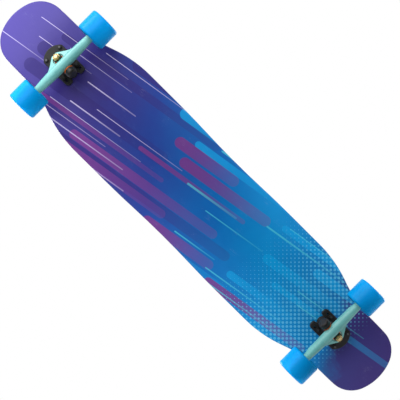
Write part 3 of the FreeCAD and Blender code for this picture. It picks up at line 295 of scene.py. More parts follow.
@dataclass(frozen=True)
class SharedEffects:
    """The node groups, built once and placed in each material with its own values."""

    cloud_edges: tuple[float, float] = (0.3, 0.7)
    hair_turns: tuple[float, float] = (0.5, -1.1)
    hair_stretch: float = 0.06
    hair_width: float = 0.02
    patch_scale: float = 0.12
    patch_edge: float = 0.15
    ring_wander: float = 3.0
    ring_wander_scale: float = 90.0
    peel_grain_scale: float = 3.7
    peel_grain_share: float = 0.3

    @staticmethod
    def start(kind: Effect, inputs: dict[str, str], output: str,
              output_type: str = "Float") -> tuple[Graph, dict[str, Socket], Socket]:
        """Open a new group.

        Args:
            kind: Name of the group.
            inputs: Input names with their socket types.
            output: Name of its output.
            output_type: Socket type of the output.

        Returns:
            The group's graph, the sockets that bring its inputs, and the one that takes its output.
        """
        tree = bpy.data.node_groups.new(kind.value, "ShaderNodeTree")
        rows = [(name, "INPUT", shape) for name, shape in inputs.items()]
        for name, way, shape in [*rows, (output, "OUTPUT", output_type)]:
            tree.interface.new_socket(name=name, in_out=way, socket_type=f"NodeSocket{shape}")
        graph = Graph(tree)
        enter = graph.add("NodeGroupInput")
        leave = graph.add("NodeGroupOutput")
        return graph, {name: enter.outputs[name] for name in inputs}, leave.inputs[output]

    def mottle(self) -> None:
        """Two colours in soft clouds: fractal noise, steepened about its middle, mixes them."""
        inputs = {"Place": "Vector", "Scale": "Float", "First": "Color", "Second": "Color"}
        graph, given, colour = self.start(Effect.MOTTLE, inputs, "Color", "Color")
        clouds = graph.noise(given["Place"], given["Scale"], detail=4.0)
        share = graph.step(clouds, *self.cloud_edges)
        graph.feed(colour, graph.mix(share, given["First"], given["Second"]))

    def scuffs(self) -> None:
        """Short hairline marks: the crests of two stretched noises, thinned by a patchy third."""
        inputs = {"Place": "Vector", "Scale": "Float", "Limit": "Float"}
        graph, given, mask = self.start(Effect.SCUFFS, inputs, "Mask")
        marks = []
        for turn in self.hair_turns:
            stretch = (self.hair_stretch, 1, 1)
            hairs = graph.moved(given["Place"], turn=(0, 0, turn), stretch=stretch)
            wave = graph.math("SUBTRACT", graph.noise(hairs, given["Scale"], detail=2.0), 0.5)
            marks.append(graph.step(graph.math("ABSOLUTE", wave), self.hair_width, 0.0))
        scale = graph.math("MULTIPLY", given["Scale"], self.patch_scale)
        patches = graph.noise(given["Place"], scale, detail=2.0)
        full = graph.math("ADD", given["Limit"], self.patch_edge)
        patch = graph.step(patches, given["Limit"], full)
        graph.feed(mask, graph.math("MULTIPLY", graph.math("MAXIMUM", *marks), patch))

    def rings(self) -> None:
        """Lathe marks about the Y axis: a sine of the radius plus Y, broken up by a slow noise."""
        inputs = {"Place": "Vector", "Pitch": "Float"}
        graph, given, mark = self.start(Effect.RINGS, inputs, "Mark")
        x, y, z = graph.split(given["Place"])
        run = graph.math("ADD", graph.hypotenuse(x, z), y)
        wander = graph.noise(given["Place"], self.ring_wander_scale, detail=2.0)
        turns = graph.math("DIVIDE", run, given["Pitch"])
        turns = graph.math("MULTIPLY_ADD", wander, self.ring_wander, turns)
        wave = graph.math("SINE", graph.math("MULTIPLY", turns, math.tau))
        graph.feed(mark, graph.math("MULTIPLY_ADD", wave, 0.5, 0.5))

    def peel(self) -> None:
        """Skin of sprayed paint: broad soft dimples with a finer grain over them."""
        inputs = {"Place": "Vector", "Scale": "Float"}
        graph, given, height = self.start(Effect.PEEL, inputs, "Height")
        dimples = graph.noise(given["Place"], given["Scale"], detail=1.0)
        scale = graph.math("MULTIPLY", given["Scale"], self.peel_grain_scale)
        grain = graph.noise(given["Place"], scale, detail=2.0)
        broad = graph.math("MULTIPLY", dimples, 1 - self.peel_grain_share)
        graph.feed(height, graph.math("MULTIPLY_ADD", grain, self.peel_grain_share, broad))

    def build(self) -> None:
        """Make every group."""
        for make in (self.mottle, self.scuffs, self.rings, self.peel):
            make()


@dataclass(frozen=True)
class Finish:
    """Finish of two close tones that drift into each other, with a roughness that varies."""

    name: str
    tint: Colour
    drift: Colour
    roughness: float

    def tone(self, graph: Graph, place: Socket, scale: float) -> Socket:
        """Colour of the finish: its two tones in soft clouds, so many a metre."""
        tones = {"First": self.tint.linear, "Second": self.drift.linear}
        return graph.effect(Effect.MOTTLE, {"Place": place, "Scale": scale, **tones})

    def rough(self, graph: Graph, mark: Socket, below: float, above: float) -> Socket:
        """Roughness that a mark from 0 to 1 takes from below to above its level."""
        return graph.between(mark, self.roughness - below, self.roughness + above)


@dataclass(frozen=True)
class PowderCoat(Finish):
    """Baked paint over a casting: orange peel, a slow drift of tone and a few scuffs."""

    scuff: Colour
    peel_scale: float
    peel_depth: float
    scuff_limit: float
    coat: float
    tone_scale: float = 38.0
    scuff_scale: float = 420.0
    scuff_share: float = 0.5
    scuff_roughness: float = 0.2
    coat_roughness: float = 0.2

    def material(self) -> bpy.types.Material:
        """Build the finish.

        Returns:
            The material.
        """
        surface = Surface(self.name)
        graph, place = surface.graph, surface.place
        tone = self.tone(graph, place, self.tone_scale)
        marks = graph.scuffs(place, self.scuff_scale, self.scuff_limit)
        share = graph.math("MULTIPLY", marks, self.scuff_share)
        peel = graph.effect(Effect.PEEL, {"Place": place, "Scale": self.peel_scale})
        rough = self.rough(graph, peel, below=0.06, above=0.08)
        return surface.set(
            base_color=graph.mix(share, tone, self.scuff.linear),
            roughness=graph.math("MULTIPLY_ADD", share, self.scuff_roughness, rough),
            coat_weight=self.coat,
            coat_roughness=self.coat_roughness,
            normal=graph.bump(peel, self.peel_depth),
        )


@dataclass(frozen=True)
class Urethane(Finish):
    """Cast urethane: deep colour, soft shine, a little light inside and swirls from the pour."""

    glow: float
    axle: tuple[float, float] | None = None
    tone_scale: float = 30.0
    swirl_stretch: float = 0.35
    grain_scale: float = 1400.0
    grain_share: float = 0.4
    ring_pitch: float = 0.9 * MM
    ring_share: float = 0.35
    relief: float = 0.05 * MM
    specular: float = 0.1
    glow_colour: tuple[float, float, float] = (0.6, 0.9, 1.0)
    glow_depth: float = 2.0 * MM

    def material(self) -> bpy.types.Material:
        """Build the finish; a wheel, which has an axle, also gets lathe marks about it.

        Returns:
            The material.
        """
        surface = Surface(self.name)
        graph, place = surface.graph, surface.place
        swirl = graph.moved(place, stretch=(1, self.swirl_stretch, 1))
        grain = graph.noise(place, self.grain_scale, detail=2.0)
        height = graph.math("MULTIPLY", grain, self.grain_share)
        if self.axle:
            rings = graph.lathe_marks(place, self.axle, self.ring_pitch)
            height = graph.math("MULTIPLY_ADD", rings, self.ring_share, height)
        return surface.set(
            base_color=self.tone(graph, swirl, self.tone_scale),
            roughness=self.rough(graph, grain, below=0.05, above=0.07),
            specular_ior_level=self.specular,
            subsurface_weight=self.glow,
            subsurface_radius=self.glow_colour,
            subsurface_scale=self.glow_depth,
            normal=graph.bump(height, self.relief),
        )


@dataclass(frozen=True)
class TurnedMetal(Finish):
    """Machined or plated steel: lathe marks about the axle's way, tone drift and fine scuffs."""

    axle: tuple[float, float] = (0, 0)
    pitch: float = 0.25 * MM
    tone_scale: float = 160.0
    scuff_scale: float = 900.0
    scuff_limit: float = 0.45
    scuff_roughness: float = 0.15
    relief: float = 0.012 * MM

    def material(self) -> bpy.types.Material:
        """Build the finish.

        Returns:
            The material.
        """
        surface = Surface(self.name)
        graph, place = surface.graph, surface.place
        rings = graph.lathe_marks(place, self.axle, self.pitch)
        marks = graph.scuffs(place, self.scuff_scale, self.scuff_limit)
        rough = self.rough(graph, rings, below=0.06, above=0.08)
        return surface.set(
            base_color=self.tone(graph, place, self.tone_scale),
            metallic=1.0,
            roughness=graph.math("MULTIPLY_ADD", marks, self.scuff_roughness, rough),
            normal=graph.bump(rings, self.relief),
        )


@dataclass(frozen=True)
class Moulding(Finish):
    """Moulded nylon or rubber: fine leathery grain and a slight drift of tone."""

    grain_scale: float
    grain_depth: float
    tone_scale: float = 70.0

    def material(self) -> bpy.types.Material:
        """Build the finish.

        Returns:
            The material.
        """
        surface = Surface(self.name)
        graph, place = surface.graph, surface.place
        grain = graph.noise(place, self.grain_scale, detail=3.0, roughness=0.6)
        return surface.set(
            base_color=self.tone(graph, place, self.tone_scale),
            roughness=self.rough(graph, grain, below=0.08, above=0.08),
            normal=graph.bump(grain, self.grain_depth),
        )


@dataclass(frozen=True)
class Grit(Finish):
    """Abrasive sheet: packed dark grains, scattered painted glints on grain facets and a few dusty
    patches.
    """

    # Lighter colour painted on a few grains as glints off their facets.
    facet: Colour
    dust: Colour
    grains: float = 1500.0
    facet_edges: tuple[float, float] = (0.93, 0.97)
    dust_scale: float = 9.0
    dust_edges: tuple[float, float] = (0.52, 0.78)
    dust_share: float = 0.35
    relief: float = 0.25 * MM
    specular: float = 0.2

    def material(self) -> bpy.types.Material:
        """Build the finish from Voronoi cells, one to a grain.

        Returns:
            The material.
        """
        surface = Surface(self.name)
        graph, place = surface.graph, surface.place
        cells = graph.add("ShaderNodeTexVoronoi", {"Vector": place, "Scale": self.grains})
        pick = graph.add("ShaderNodeSeparateColor", {0: cells.outputs["Color"]}).outputs
        base = graph.mix(pick[0], self.tint.linear, self.drift.linear)
        # Painted glints: a few random grains get a lighter colour that stands in for light caught
        # by their facets.
        with_painted_glints = graph.mix(graph.step(pick[1], *self.facet_edges), base, self.facet.linear)
        patches = graph.noise(place, self.dust_scale, detail=5.0, roughness=0.6)
        worn = graph.math("MULTIPLY", graph.step(patches, *self.dust_edges), self.dust_share)
        top = graph.math("SUBTRACT", 1.0, cells.outputs["Distance"])
        return surface.set(
            base_color=graph.mix(worn, with_painted_glints, self.dust.linear),
            roughness=self.rough(graph, pick[2], below=0.0, above=0.25),
            specular_ior_level=self.specular,
            normal=graph.bump(top, self.relief),
        )


@dataclass(frozen=True)
class Streaks:
    """One layer of the print: rounded streaks side by side along the board.

    Each has its own width between thin and thick, its own length up to reach, and its middle
    between start and end.
    """

    tint: Colour
    pitch: float
    thin: float
    thick: float
    reach: float
    start: float
    end: float
    seed: float
    strength: float
    fade: float = 0.3
    shortest: float = 0.35
    fade_reach: float = 1.2
    blur: float = 0.3 * MM
    middle_seed: float = 31.7
    length_seed: float = 77.3

    def mask(self, graph: Graph, along: Socket, across: Socket) -> Socket:
        """Mask of the layer: the distance to a rounded streak in each strip, less its half width.

        The ink thins out along each streak, from its nose end to its tail end.

        Args:
            graph: Graph to build in.
            along: Coordinate along the streaks.
            across: Coordinate over the streaks.

        Returns:
            Mask from 0 to the layer's strength.
        """
        strips = graph.math("DIVIDE", across, self.pitch)
        strip = graph.math("FLOOR", strips)
        off = graph.math("SUBTRACT", graph.math("SUBTRACT", strips, strip), 0.5)
        aside = graph.math("MULTIPLY", off, self.pitch)
        half = graph.between(graph.chance(strip, self.seed), self.thin, self.thick)
        place = graph.chance(strip, self.seed + self.middle_seed)
        middle = graph.between(place, self.start, self.end)
        size = graph.chance(strip, self.seed + self.length_seed)
        length = graph.between(size, self.reach * self.shortest, self.reach)
        ahead = graph.math("SUBTRACT", along, middle)
        beyond = graph.math("SUBTRACT", graph.math("ABSOLUTE", ahead), length)
        past = graph.math("MAXIMUM", beyond, 0.0)
        distance = graph.math("SUBTRACT", graph.hypotenuse(aside, past), half)
        thinnest = graph.math("MULTIPLY", length, -self.fade_reach)
        ink = graph.step(ahead, thinnest, length)
        ink = graph.between(ink, self.strength * self.fade, self.strength)
        return graph.math("MULTIPLY", graph.step(distance, self.blur, -self.blur), ink)


@dataclass(frozen=True)
class Halftone:
    """Dots on a square grid turned by an eighth, which swell towards the tail and end before it.

    Sizes are shares of a cell of the grid; swell and stop are ranges of X.
    """

    tint: Colour = Colour(118, 216, 250)
    cells: float = 110.0
    largest: float = 0.34
    smallest: tuple[float, float] = (0.02, 0.05)
    blur: float = 0.03
    swell: tuple[float, float] = (-0.12, -0.36)
    stop: tuple[float, float] = (-0.50, -0.40)
    strength: float = 0.45

    def over(self, graph: Graph, place: Socket, along: Socket, colour: Socket) -> Socket:
        """Print the dots over a colour: inside a dot, the distance to its middle is under its size.

        Args:
            graph: Graph to build in.
            place: Object coordinates.
            along: Their X.
            colour: The print so far.

        Returns:
            The print with its dots.
        """
        stretch = (self.cells, self.cells, 0)
        grid = graph.moved(place, turn=(0, 0, math.pi / 4), stretch=stretch)
        feeds = {"Vector": grid, "Scale": 1.0, "Randomness": 0.0}
        cells = graph.add("ShaderNodeTexVoronoi", feeds, voronoi_dimensions="2D")
        ends = graph.step(along, *self.swell), graph.step(along, *self.stop)
        size = graph.math("MULTIPLY", graph.math("MULTIPLY", *ends), self.largest)
        gap = graph.math("SUBTRACT", cells.outputs["Distance"], size)
        shown = graph.step(gap, self.blur, -self.blur), graph.step(size, *self.smallest)
        share = graph.math("MULTIPLY", graph.math("MULTIPLY", *shown), self.strength)
        return graph.mix(share, colour, self.tint.linear)


@dataclass(frozen=True)
class PrintedMaple:
    """Pressed maple with a lacquered print below, bare plies on the rails and bare veneer above."""

    name: str
    level: float
    length: float
    thickness: float = 11 * MM
    kick_start: float = 478 * MM
    kick_radius: float = 150 * MM
    kick_angle: float = math.radians(14)
    flat: float = 60 * MM
    rail_radius: float = 300 * MM
    plies: int = 8
    ply_seed: float = 4.2
    ply_tone: float = 0.6
    grain_tone: float = 0.5
    grain_stretch: float = 0.04
    grain_scale: float = 700.0
    glue_edges: tuple[float, float] = (0.42, 0.49)
    maple: Colour = Colour(214, 178, 128)
    heart: Colour = Colour(176, 132, 84)
    glue: Colour = Colour(96, 66, 42)
    print_edge: float = 2.6 * MM
    print_core: float = 0.8
    slant: float = math.radians(9)
    wash_lean: float = -0.7
    cloud_scale: float = 7.0
    cloud_share: float = 0.16
    wash: tuple[tuple[float, Colour], ...] = (
        (0.00, Colour(55, 42, 114)),
        (0.10, Colour(53, 50, 122)),
        (0.15, Colour(0, 118, 188)),
        (0.30, Colour(0, 142, 211)),
        (0.46, Colour(0, 103, 182)),
        (0.62, Colour(32, 64, 151)),
        (0.78, Colour(50, 46, 129)),
        (0.90, Colour(72, 62, 146)),
        (1.00, Colour(76, 64, 154)),
    )
    layers: tuple[Streaks, ...] = (
        Streaks(Colour(48, 35, 117), 47 * MM, 6 * MM, 20 * MM, 0.24, -0.05, 0.50, 3.1, 0.75),
        Streaks(Colour(0, 158, 225), 39 * MM, 5 * MM, 15 * MM, 0.22, -0.42, 0.05, 8.6, 0.75),
        Streaks(Colour(114, 55, 136), 31 * MM, 5 * MM, 14 * MM, 0.20, -0.30, 0.30, 12.4, 0.9),
        Streaks(Colour(75, 200, 220), 26 * MM, 0.8 * MM, 2.4 * MM, 0.12, -0.45, -0.02, 5.7, 0.7),
        Streaks(Colour(210, 200, 242), 19 * MM, 0.6 * MM, 1.4 * MM, 0.13, 0.12, 0.56, 21.9, 0.85),
    )
    dots: Halftone = Halftone()
    scuff: Colour = Colour(190, 196, 220)
    scuff_scale: float = 260.0
    scuff_limit: float = 0.6
    scuff_share: float = 0.08
    fibre_stretch: float = 0.03
    fibre_scale: float = 900.0
    fibre_roughness: float = 0.08
    fibre_depth: float = 0.03 * MM
    bare_roughness: float = 0.55
    print_roughness: float = 0.36
    specular: float = 0.2
    lacquer: float = 0.06
    lacquer_roughness: float = 0.15

    def depth(self, graph: Graph, parts: Sequence[Socket]) -> Socket:
        """Depth of a point above the deck's underside.

        Level between the kicks, it is the height. In a kick's arc it is the arc's radius less the
        distance from its centre, and past the arc the distance from the straight lip. The rails
        then curve about their centres.

        Args:
            graph: Graph to build in.
            parts: The point's X, Y and Z.

        Returns:
            Depth in metres.
        """
        rise = graph.math("SUBTRACT", parts[2], self.level)
        past = graph.math("SUBTRACT", graph.math("ABSOLUTE", parts[0]), self.kick_start)
        drop = graph.math("SUBTRACT", self.kick_radius, rise)
        arc = graph.math("SUBTRACT", self.kick_radius, graph.hypotenuse(past, drop))
        sine, cosine = math.sin(self.kick_angle), math.cos(self.kick_angle)
        upright = graph.math("MULTIPLY", rise, cosine)
        lip = graph.math("SUBTRACT", upright, graph.math("MULTIPLY", past, sine))
        lip = graph.math("ADD", lip, self.kick_radius * (1 - cosine))
        swing = graph.math("ARCTAN2", past, drop)
        in_lip = graph.math("GREATER_THAN", swing, self.kick_angle)
        in_kick = graph.math("GREATER_THAN", past, 0.0)
        height = graph.choose(in_kick, rise, graph.choose(in_lip, arc, lip))
        aside = graph.math("SUBTRACT", graph.math("ABSOLUTE", parts[1]), self.flat)
        aside = graph.math("MAXIMUM", aside, 0.0)
        inner = graph.math("SUBTRACT", self.rail_radius, height)
        return graph.math("SUBTRACT", self.rail_radius, graph.hypotenuse(aside, inner))

    def print_colour(self, graph: Graph, place: Socket, parts: Sequence[Socket]) -> Socket:
        """Colour of the print: a slanted wash of blues, layers of streaks, dots and a few scuffs.

        Args:
            graph: Graph to build in.
            place: Object coordinates.
            parts: The same as X, Y and Z.

        Returns:
            The colour.
        """
        clouds = graph.noise(place, self.cloud_scale, detail=5.0, roughness=0.6)
        cloud = graph.math("SUBTRACT", clouds, 0.5)
        leaning = graph.math("MULTIPLY_ADD", parts[1], self.wash_lean, parts[0])
        share = graph.math("MULTIPLY_ADD", leaning, 1 / self.length, 0.5)
        share = graph.math("MULTIPLY_ADD", cloud, self.cloud_share, share)
        colour = graph.palette(share, self.wash)
        along, across, _ = graph.split(graph.moved(place, turn=(0, 0, self.slant)))
        for layer in self.layers:
            colour = graph.mix(layer.mask(graph, along, across), colour, layer.tint.linear)
        colour = self.dots.over(graph, place, parts[0], colour)
        marks = graph.scuffs(place, self.scuff_scale, self.scuff_limit)
        worn = graph.math("MULTIPLY", marks, self.scuff_share)
        return graph.mix(worn, colour, self.scuff.linear)

    def ply_colour(self, graph: Graph, place: Socket, depth: Socket) -> Socket:
        """Colour of bare maple: each ply has its own tone and grain, with glue lines between plies.

        Args:
            graph: Graph to build in.
            place: Object coordinates.
            depth: Depth above the underside.

        Returns:
            The colour.
        """
        plies = graph.math("MULTIPLY", depth, self.plies / self.thickness)
        ply = graph.math("FLOOR", plies)
        long_place = graph.moved(place, stretch=(self.grain_stretch, 1, 1))
        grain = graph.noise(long_place, self.grain_scale, detail=4.0, roughness=0.6)
        grain = graph.math("MULTIPLY", grain, self.grain_tone)
        own = graph.chance(ply, self.ply_seed)
        tone = graph.math("MULTIPLY_ADD", own, self.ply_tone, grain)
        wood = graph.mix(tone, self.maple.linear, self.heart.linear)
        off = graph.math("SUBTRACT", graph.math("SUBTRACT", plies, ply), 0.5)
        line = graph.step(graph.math("ABSOLUTE", off), *self.glue_edges)
        return graph.mix(line, wood, self.glue.linear)

    def material(self) -> bpy.types.Material:
        """Build the finish.

        Returns:
            The material.
        """
        surface = Surface(self.name)
        graph, place = surface.graph, surface.place
        parts = graph.split(place)
        depth = self.depth(graph, parts)
        printed = graph.step(depth, self.print_edge, self.print_edge * self.print_core)
        paint = self.print_colour(graph, place, parts)
        long_place = graph.moved(place, stretch=(self.fibre_stretch, 1, 1))
        fibres = graph.noise(long_place, self.fibre_scale, detail=3.0)
        rough = graph.between(printed, self.bare_roughness, self.print_roughness)
        return surface.set(
            base_color=graph.mix(printed, self.ply_colour(graph, place, depth), paint),
            roughness=graph.math("MULTIPLY_ADD", fibres, self.fibre_roughness, rough),
            specular_ior_level=self.specular,
            coat_weight=self.lacquer,
            coat_roughness=self.lacquer_roughness,
            normal=graph.bump(fibres, self.fibre_depth),
        )


def revolved(name: str, profile: np.ndarray, place: Matrix, segments: int = 96) -> bpy.types.Object:
    """Closed body of revolution: a ring of profile points turned about the Z axis of a place.

    A point is (r cos a, r sin a, h), with a over the whole turn and (r, h) round the profile.

    Args:
        name: Name of the piece.
        profile: Radius and height of the points in order, shape (n, 2), in metres.
        place: Where the axis stands.
        segments: Number of steps round the axis.

    Returns:
        The piece, with its place in its mesh.
    """
    angle = np.linspace(0, math.tau, segments, endpoint=False)
    radius, height = profile[:, 0], profile[:, 1]
    points = np.stack([
        np.outer(np.cos(angle), radius),
        np.outer(np.sin(angle), radius),
        np.broadcast_to(height, (segments, len(height))),
    ], axis=-1).reshape(-1, 3)
    rows = np.arange(segments)[:, None] * len(height)
    columns = np.arange(len(height))[None, :]
    next_rows = np.roll(rows, -1, axis=0)
    next_columns = np.roll(columns, -1, axis=1)
    corners = [
        rows + columns, next_rows + columns, next_rows + next_columns, rows + next_columns]
    faces = np.stack(np.broadcast_arrays(*corners), axis=-1).reshape(-1, 4)
    placed = points @ np.array(place.to_3x3()).T + np.array(place.translation)
    return meshed(name, placed, faces)


def meshed(name: str, points: np.ndarray, faces: np.ndarray) -> bpy.types.Object:
    """Smooth-shaded object from points and faces, with doubles merged and faces turned outwards.

    Args:
        name: Name of the piece.
        points: Vertices, shape (n, 3), in metres.
        faces: Vertex numbers of the faces, shape (m, 4).

    Returns:
        The object, linked to the scene.
    """
    mesh = bpy.data.meshes.new(name)
    mesh.from_pydata(points.tolist(), [], faces.tolist())
    work = bmesh.new()
    work.from_mesh(mesh)
    bmesh.ops.remove_doubles(work, verts=work.verts, dist=MERGE_DISTANCE)
    bmesh.ops.recalc_face_normals(work, faces=work.faces)
    work.to_mesh(mesh)
    work.free()
    mesh.polygons.foreach_set("use_smooth", np.ones(len(mesh.polygons), bool))
    mesh.set_sharp_from_angle(angle=SHARP_ANGLE)
    piece = bpy.data.objects.new(name, mesh)
    bpy.context.scene.collection.objects.link(piece)
    return piece


def rounded(corners: Sequence[tuple[float, float, float]], steps: int = 8) -> np.ndarray:
    """Closed profile with its corners rounded by arcs that touch both of their sides.

    Each arc runs about a centre on the corner's bisector, at the radius over the sine of the half
    angle. A corner with no rounding stays one point.

    Args:
        corners: Radius, height and rounding of each corner, in metres.
        steps: Points on each arc.

    Returns:
        Points in order, shape (n, 2).
    """
    points = np.array([corner[:2] for corner in corners])
    runs = []
    for i, (_, _, round_radius) in enumerate(corners):
        if round_radius <= 0:
            runs.append(points[i:i + 1])
            continue
        back = points[i - 1] - points[i]
        ahead = points[(i + 1) % len(points)] - points[i]
        back, ahead = back / np.linalg.norm(back), ahead / np.linalg.norm(ahead)
        half = math.acos(float(np.clip(back @ ahead, -1, 1))) / 2
        bisector = (back + ahead) / np.linalg.norm(back + ahead)
        centre = points[i] + bisector * round_radius / math.sin(half)
        first = points[i] + back * round_radius / math.tan(half) - centre
        last = points[i] + ahead * round_radius / math.tan(half) - centre
        share = np.linspace(0, 1, steps)[:, None]
        arc = first * (1 - share) + last * share
        runs.append(centre + arc / np.linalg.norm(arc, axis=1, keepdims=True) * round_radius)
    return np.concatenate(runs)


def dress(prefix: str, finishes: dict[str, bpy.types.Material]) -> None:
    """Give CAD nodes their finishes.

    Args:
        prefix: Start of the nodes' names.
        finishes: The rest of each node's name, with its material.
    """
    for name, material in finishes.items():
        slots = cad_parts[prefix + name].data.materials
        slots.clear()
        slots.append(material)
        log.info("%s: %s", prefix + name, material.name)


def add_piece(piece: bpy.types.Object, material: bpy.types.Material) -> None:
    """Give a new piece its finish.

    Args:
        piece: The new piece.
        material: Its finish.
    """
    piece.data.materials.append(material)
    log.info("%s: %d faces", piece.name, len(piece.data.polygons))


@dataclass
class Deck:
    """Pressed deck with its print, grip tape and mounting hardware."""

    level: float = 102 * MM
    length: float = 1170 * MM

    def finish(self, black: bpy.types.Material) -> None:
        """Dress the deck's CAD nodes.

        Args:
            black: Finish of the lock nuts.
        """
        maple = PrintedMaple("printed_maple", self.level, self.length)
        grit = Grit("grip_grit", Colour(14, 14, 15), Colour(25, 25, 27), 0.7,
                    facet=Colour(120, 122, 128), dust=Colour(58, 57, 56))
        zinc = TurnedMetal("dark_zinc", Colour(112, 112, 114), Colour(84, 84, 88), 0.4)
        dress("", {
            "deck": maple.material(), "grip_tape": grit.material(),
            "deck_bolts": zinc.material(), "deck_nuts": black,
        })


@dataclass
class TruckFinishes:
    """Materials that both trucks share."""

    mint: bpy.types.Material
    black: bpy.types.Material
    orange: bpy.types.Material
    rubber: bpy.types.Material
    gold: bpy.types.Material
    nylon: bpy.types.Material

    @classmethod
    def build(cls) -> "TruckFinishes":
        """Make the materials.

        Returns:
            The set of them.
        """
        mint = PowderCoat(
            "mint_coat", Colour(130, 211, 208), Colour(116, 199, 197), 0.4, Colour(186, 228, 218),
            peel_scale=900.0, peel_depth=0.06 * MM, scuff_limit=0.6, coat=0.15)
        black = PowderCoat(
            "black_coat", Colour(20, 20, 22), Colour(13, 13, 15), 0.5, Colour(70, 70, 74),
            peel_scale=700.0, peel_depth=0.12 * MM, scuff_limit=0.58, coat=0.0)
        orange = Urethane(
            "orange_pour", Colour(232, 124, 40), Colour(214, 100, 26), 0.42, glow=0.12)
        rubber = Moulding(
            "riser_rubber", Colour(26, 26, 27), Colour(36, 36, 37), 0.75,
            grain_scale=900.0, grain_depth=0.08 * MM)
        gold = TurnedMetal("gold_plate", Colour(226, 202, 146), Colour(208, 182, 122), 0.34)
        nylon = Moulding(
            "nylon_insert", Colour(78, 58, 34), Colour(64, 46, 26), 0.5,
            grain_scale=1200.0, grain_depth=0.03 * MM)
        return cls(*(each.material() for each in (mint, black, orange, rubber, gold, nylon)))


@dataclass
class Truck:
    """One reverse-kingpin truck: baseplate, kingpin stack, hanger and axle.

    Heights run along the kingpin, and those of the pivot cup along the steering axis, from the
    middle of the hanger's ring.
    """

    end: End
    finishes: TruckFinishes
    ring_x: float = 425.687 * MM
    ring_z: float = 55.026 * MM
    lean: float = math.radians(30)
    bore: float = 5.01 * MM
    bore_round: float = 0.4 * MM
    bushing_radius: float = 12.8 * MM
    cone_foot: float = 11.4 * MM
    cone_radius: float = 7.4 * MM
    ring_side: float = 4.6 * MM
    board_side: float = 19.1 * MM
    road_side: float = 14.1 * MM
    rim: float = 1.8 * MM
    bulge: float = 0.7 * MM
    bulge_steps: int = 12
    cup_washer_top: float = 16.1 * MM
    cup_washer_radius: float = 9.85 * MM
    cup_washer_wall: float = 0.8 * MM
    cup_washer_skirt: float = 1.9 * MM
    cup_washer_dome: float = 1.6 * MM
    cup_washer_hem: float = 0.32 * MM
    nut_end: float = 23.1 * MM
    nut_bore: float = 4.95 * MM
    axle_nut_end: float = 124 * MM
    axle_nut_bore: float = 4.19 * MM
    insert_width: float = 0.95 * MM
    insert_depth: float = 0.4 * MM
    insert_rise: float = 0.25 * MM
    insert_round: float = 0.15 * MM
    insert_segments: int = 48
    cup_mouth: float = 33.6 * MM
    cup_mouth_round: float = 0.7 * MM
    cup_flange: float = 3.0 * MM
    cup_lip: float = 1.2 * MM
    cup_back_round: float = 0.5 * MM
    cup_radius: float = 11.6 * MM
    cup_sleeve: float = 8.3 * MM
    cup_bore: float = 6.75 * MM
    cup_taper: float = 1.1 * MM
    cup_end: float = 44.0 * MM
    cup_end_round: float = 0.8 * MM
    cup_inner_round: float = 0.3 * MM

    @property
    def ring(self) -> Vector:
        """Middle of the hanger's ring."""
        return Vector((self.end.value * self.ring_x, 0, self.ring_z))

    @property
    def kingpin_way(self) -> Vector:
        """Way along the kingpin towards its nut."""
        return Vector((self.end.value * math.sin(self.lean), 0, -math.cos(self.lean)))

    @property
    def pivot_way(self) -> Vector:
        """Way along the steering axis towards the board's middle."""
        return Vector((-self.end.value * math.cos(self.lean), 0, -math.sin(self.lean)))

    def along(self, way: Vector) -> Matrix:
        """Place at the ring's middle whose Z runs along a way."""
        return Matrix.Translation(self.ring) @ way.to_track_quat("Z", "Y").to_matrix().to_4x4()

    def bushing(self, low: float, high: float, low_radius: float,
                high_radius: float) -> np.ndarray:
        """Profile of a bushing, whose outer side swells as a half sine between its rounded rims.

        Args:
            low: Height of its foot along the kingpin.
            high: Height of its top.
            low_radius: Radius at the foot.
            high_radius: Radius at the top.

        Returns:
            Points in order, shape (n, 2).
        """
        span = high - low
        rims = rounded([
            (self.bore, low, self.bore_round),
            (low_radius, low, self.rim),
            (high_radius, high, self.rim),
            (self.bore, high, self.bore_round),
        ])
        share = np.linspace(0.0, 1.0, self.bulge_steps + 1)
        share = share[(share * span > self.rim) & ((1 - share) * span > self.rim)]
        radius = low_radius + (high_radius - low_radius) * share
        side = np.stack([radius, low + span * share], axis=1)
        half = len(rims) // 2
        profile = np.concatenate([rims[:half], side, rims[half:]])
        swell = np.sin(math.pi * np.clip((profile[:, 1] - low) / span, 0, 1)) * self.bulge
        is_side = profile[:, 0] > (self.bore + min(low_radius, high_radius)) / 2
        profile[:, 0] += np.where(is_side, swell, 0.0)
        return profile

    def make_bushings(self) -> None:
        """Both bushings, each between its washer and the hanger."""
        prefix = self.end.prefix
        board, road, ring = self.board_side, self.road_side, self.ring_side
        barrel = self.bushing(-board, -ring, self.bushing_radius, self.bushing_radius)
        cone = self.bushing(ring, road, self.cone_foot, self.cone_radius)
        rows = (("boardside", barrel, -board, -ring), ("roadside", cone, road, ring))
        for name, profile, washer_face, ring_face in rows:
            place = self.along(self.kingpin_way)
            piece = revolved(f"{prefix}_{name}_urethane", profile, place)
            add_piece(piece, self.finishes.orange)
            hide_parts(f"{prefix}_{name}_bushing")
            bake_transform(piece)

    def make_pivot_cup(self) -> None:
        """Urethane cup: a flange with a soft lip, a sleeve in the tower and a tapered mouth."""
        mouth, seat = self.cup_mouth, self.cup_mouth + self.cup_flange
        profile = rounded([
            (self.cup_bore, mouth, self.cup_mouth_round),
            (self.cup_radius, mouth, self.cup_lip),
            (self.cup_radius, seat, self.cup_back_round),
            (self.cup_sleeve, seat, 0.0),
            (self.cup_sleeve, self.cup_end, self.cup_end_round),
            (self.cup_bore - self.cup_taper, self.cup_end, self.cup_inner_round),
        ])
        name = f"{self.end.prefix}_pivot_urethane"
        piece = revolved(name, profile, self.along(self.pivot_way))
        add_piece(piece, self.finishes.orange)
        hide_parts(f"{self.end.prefix}_pivot_cup")
        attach(piece, "deck")

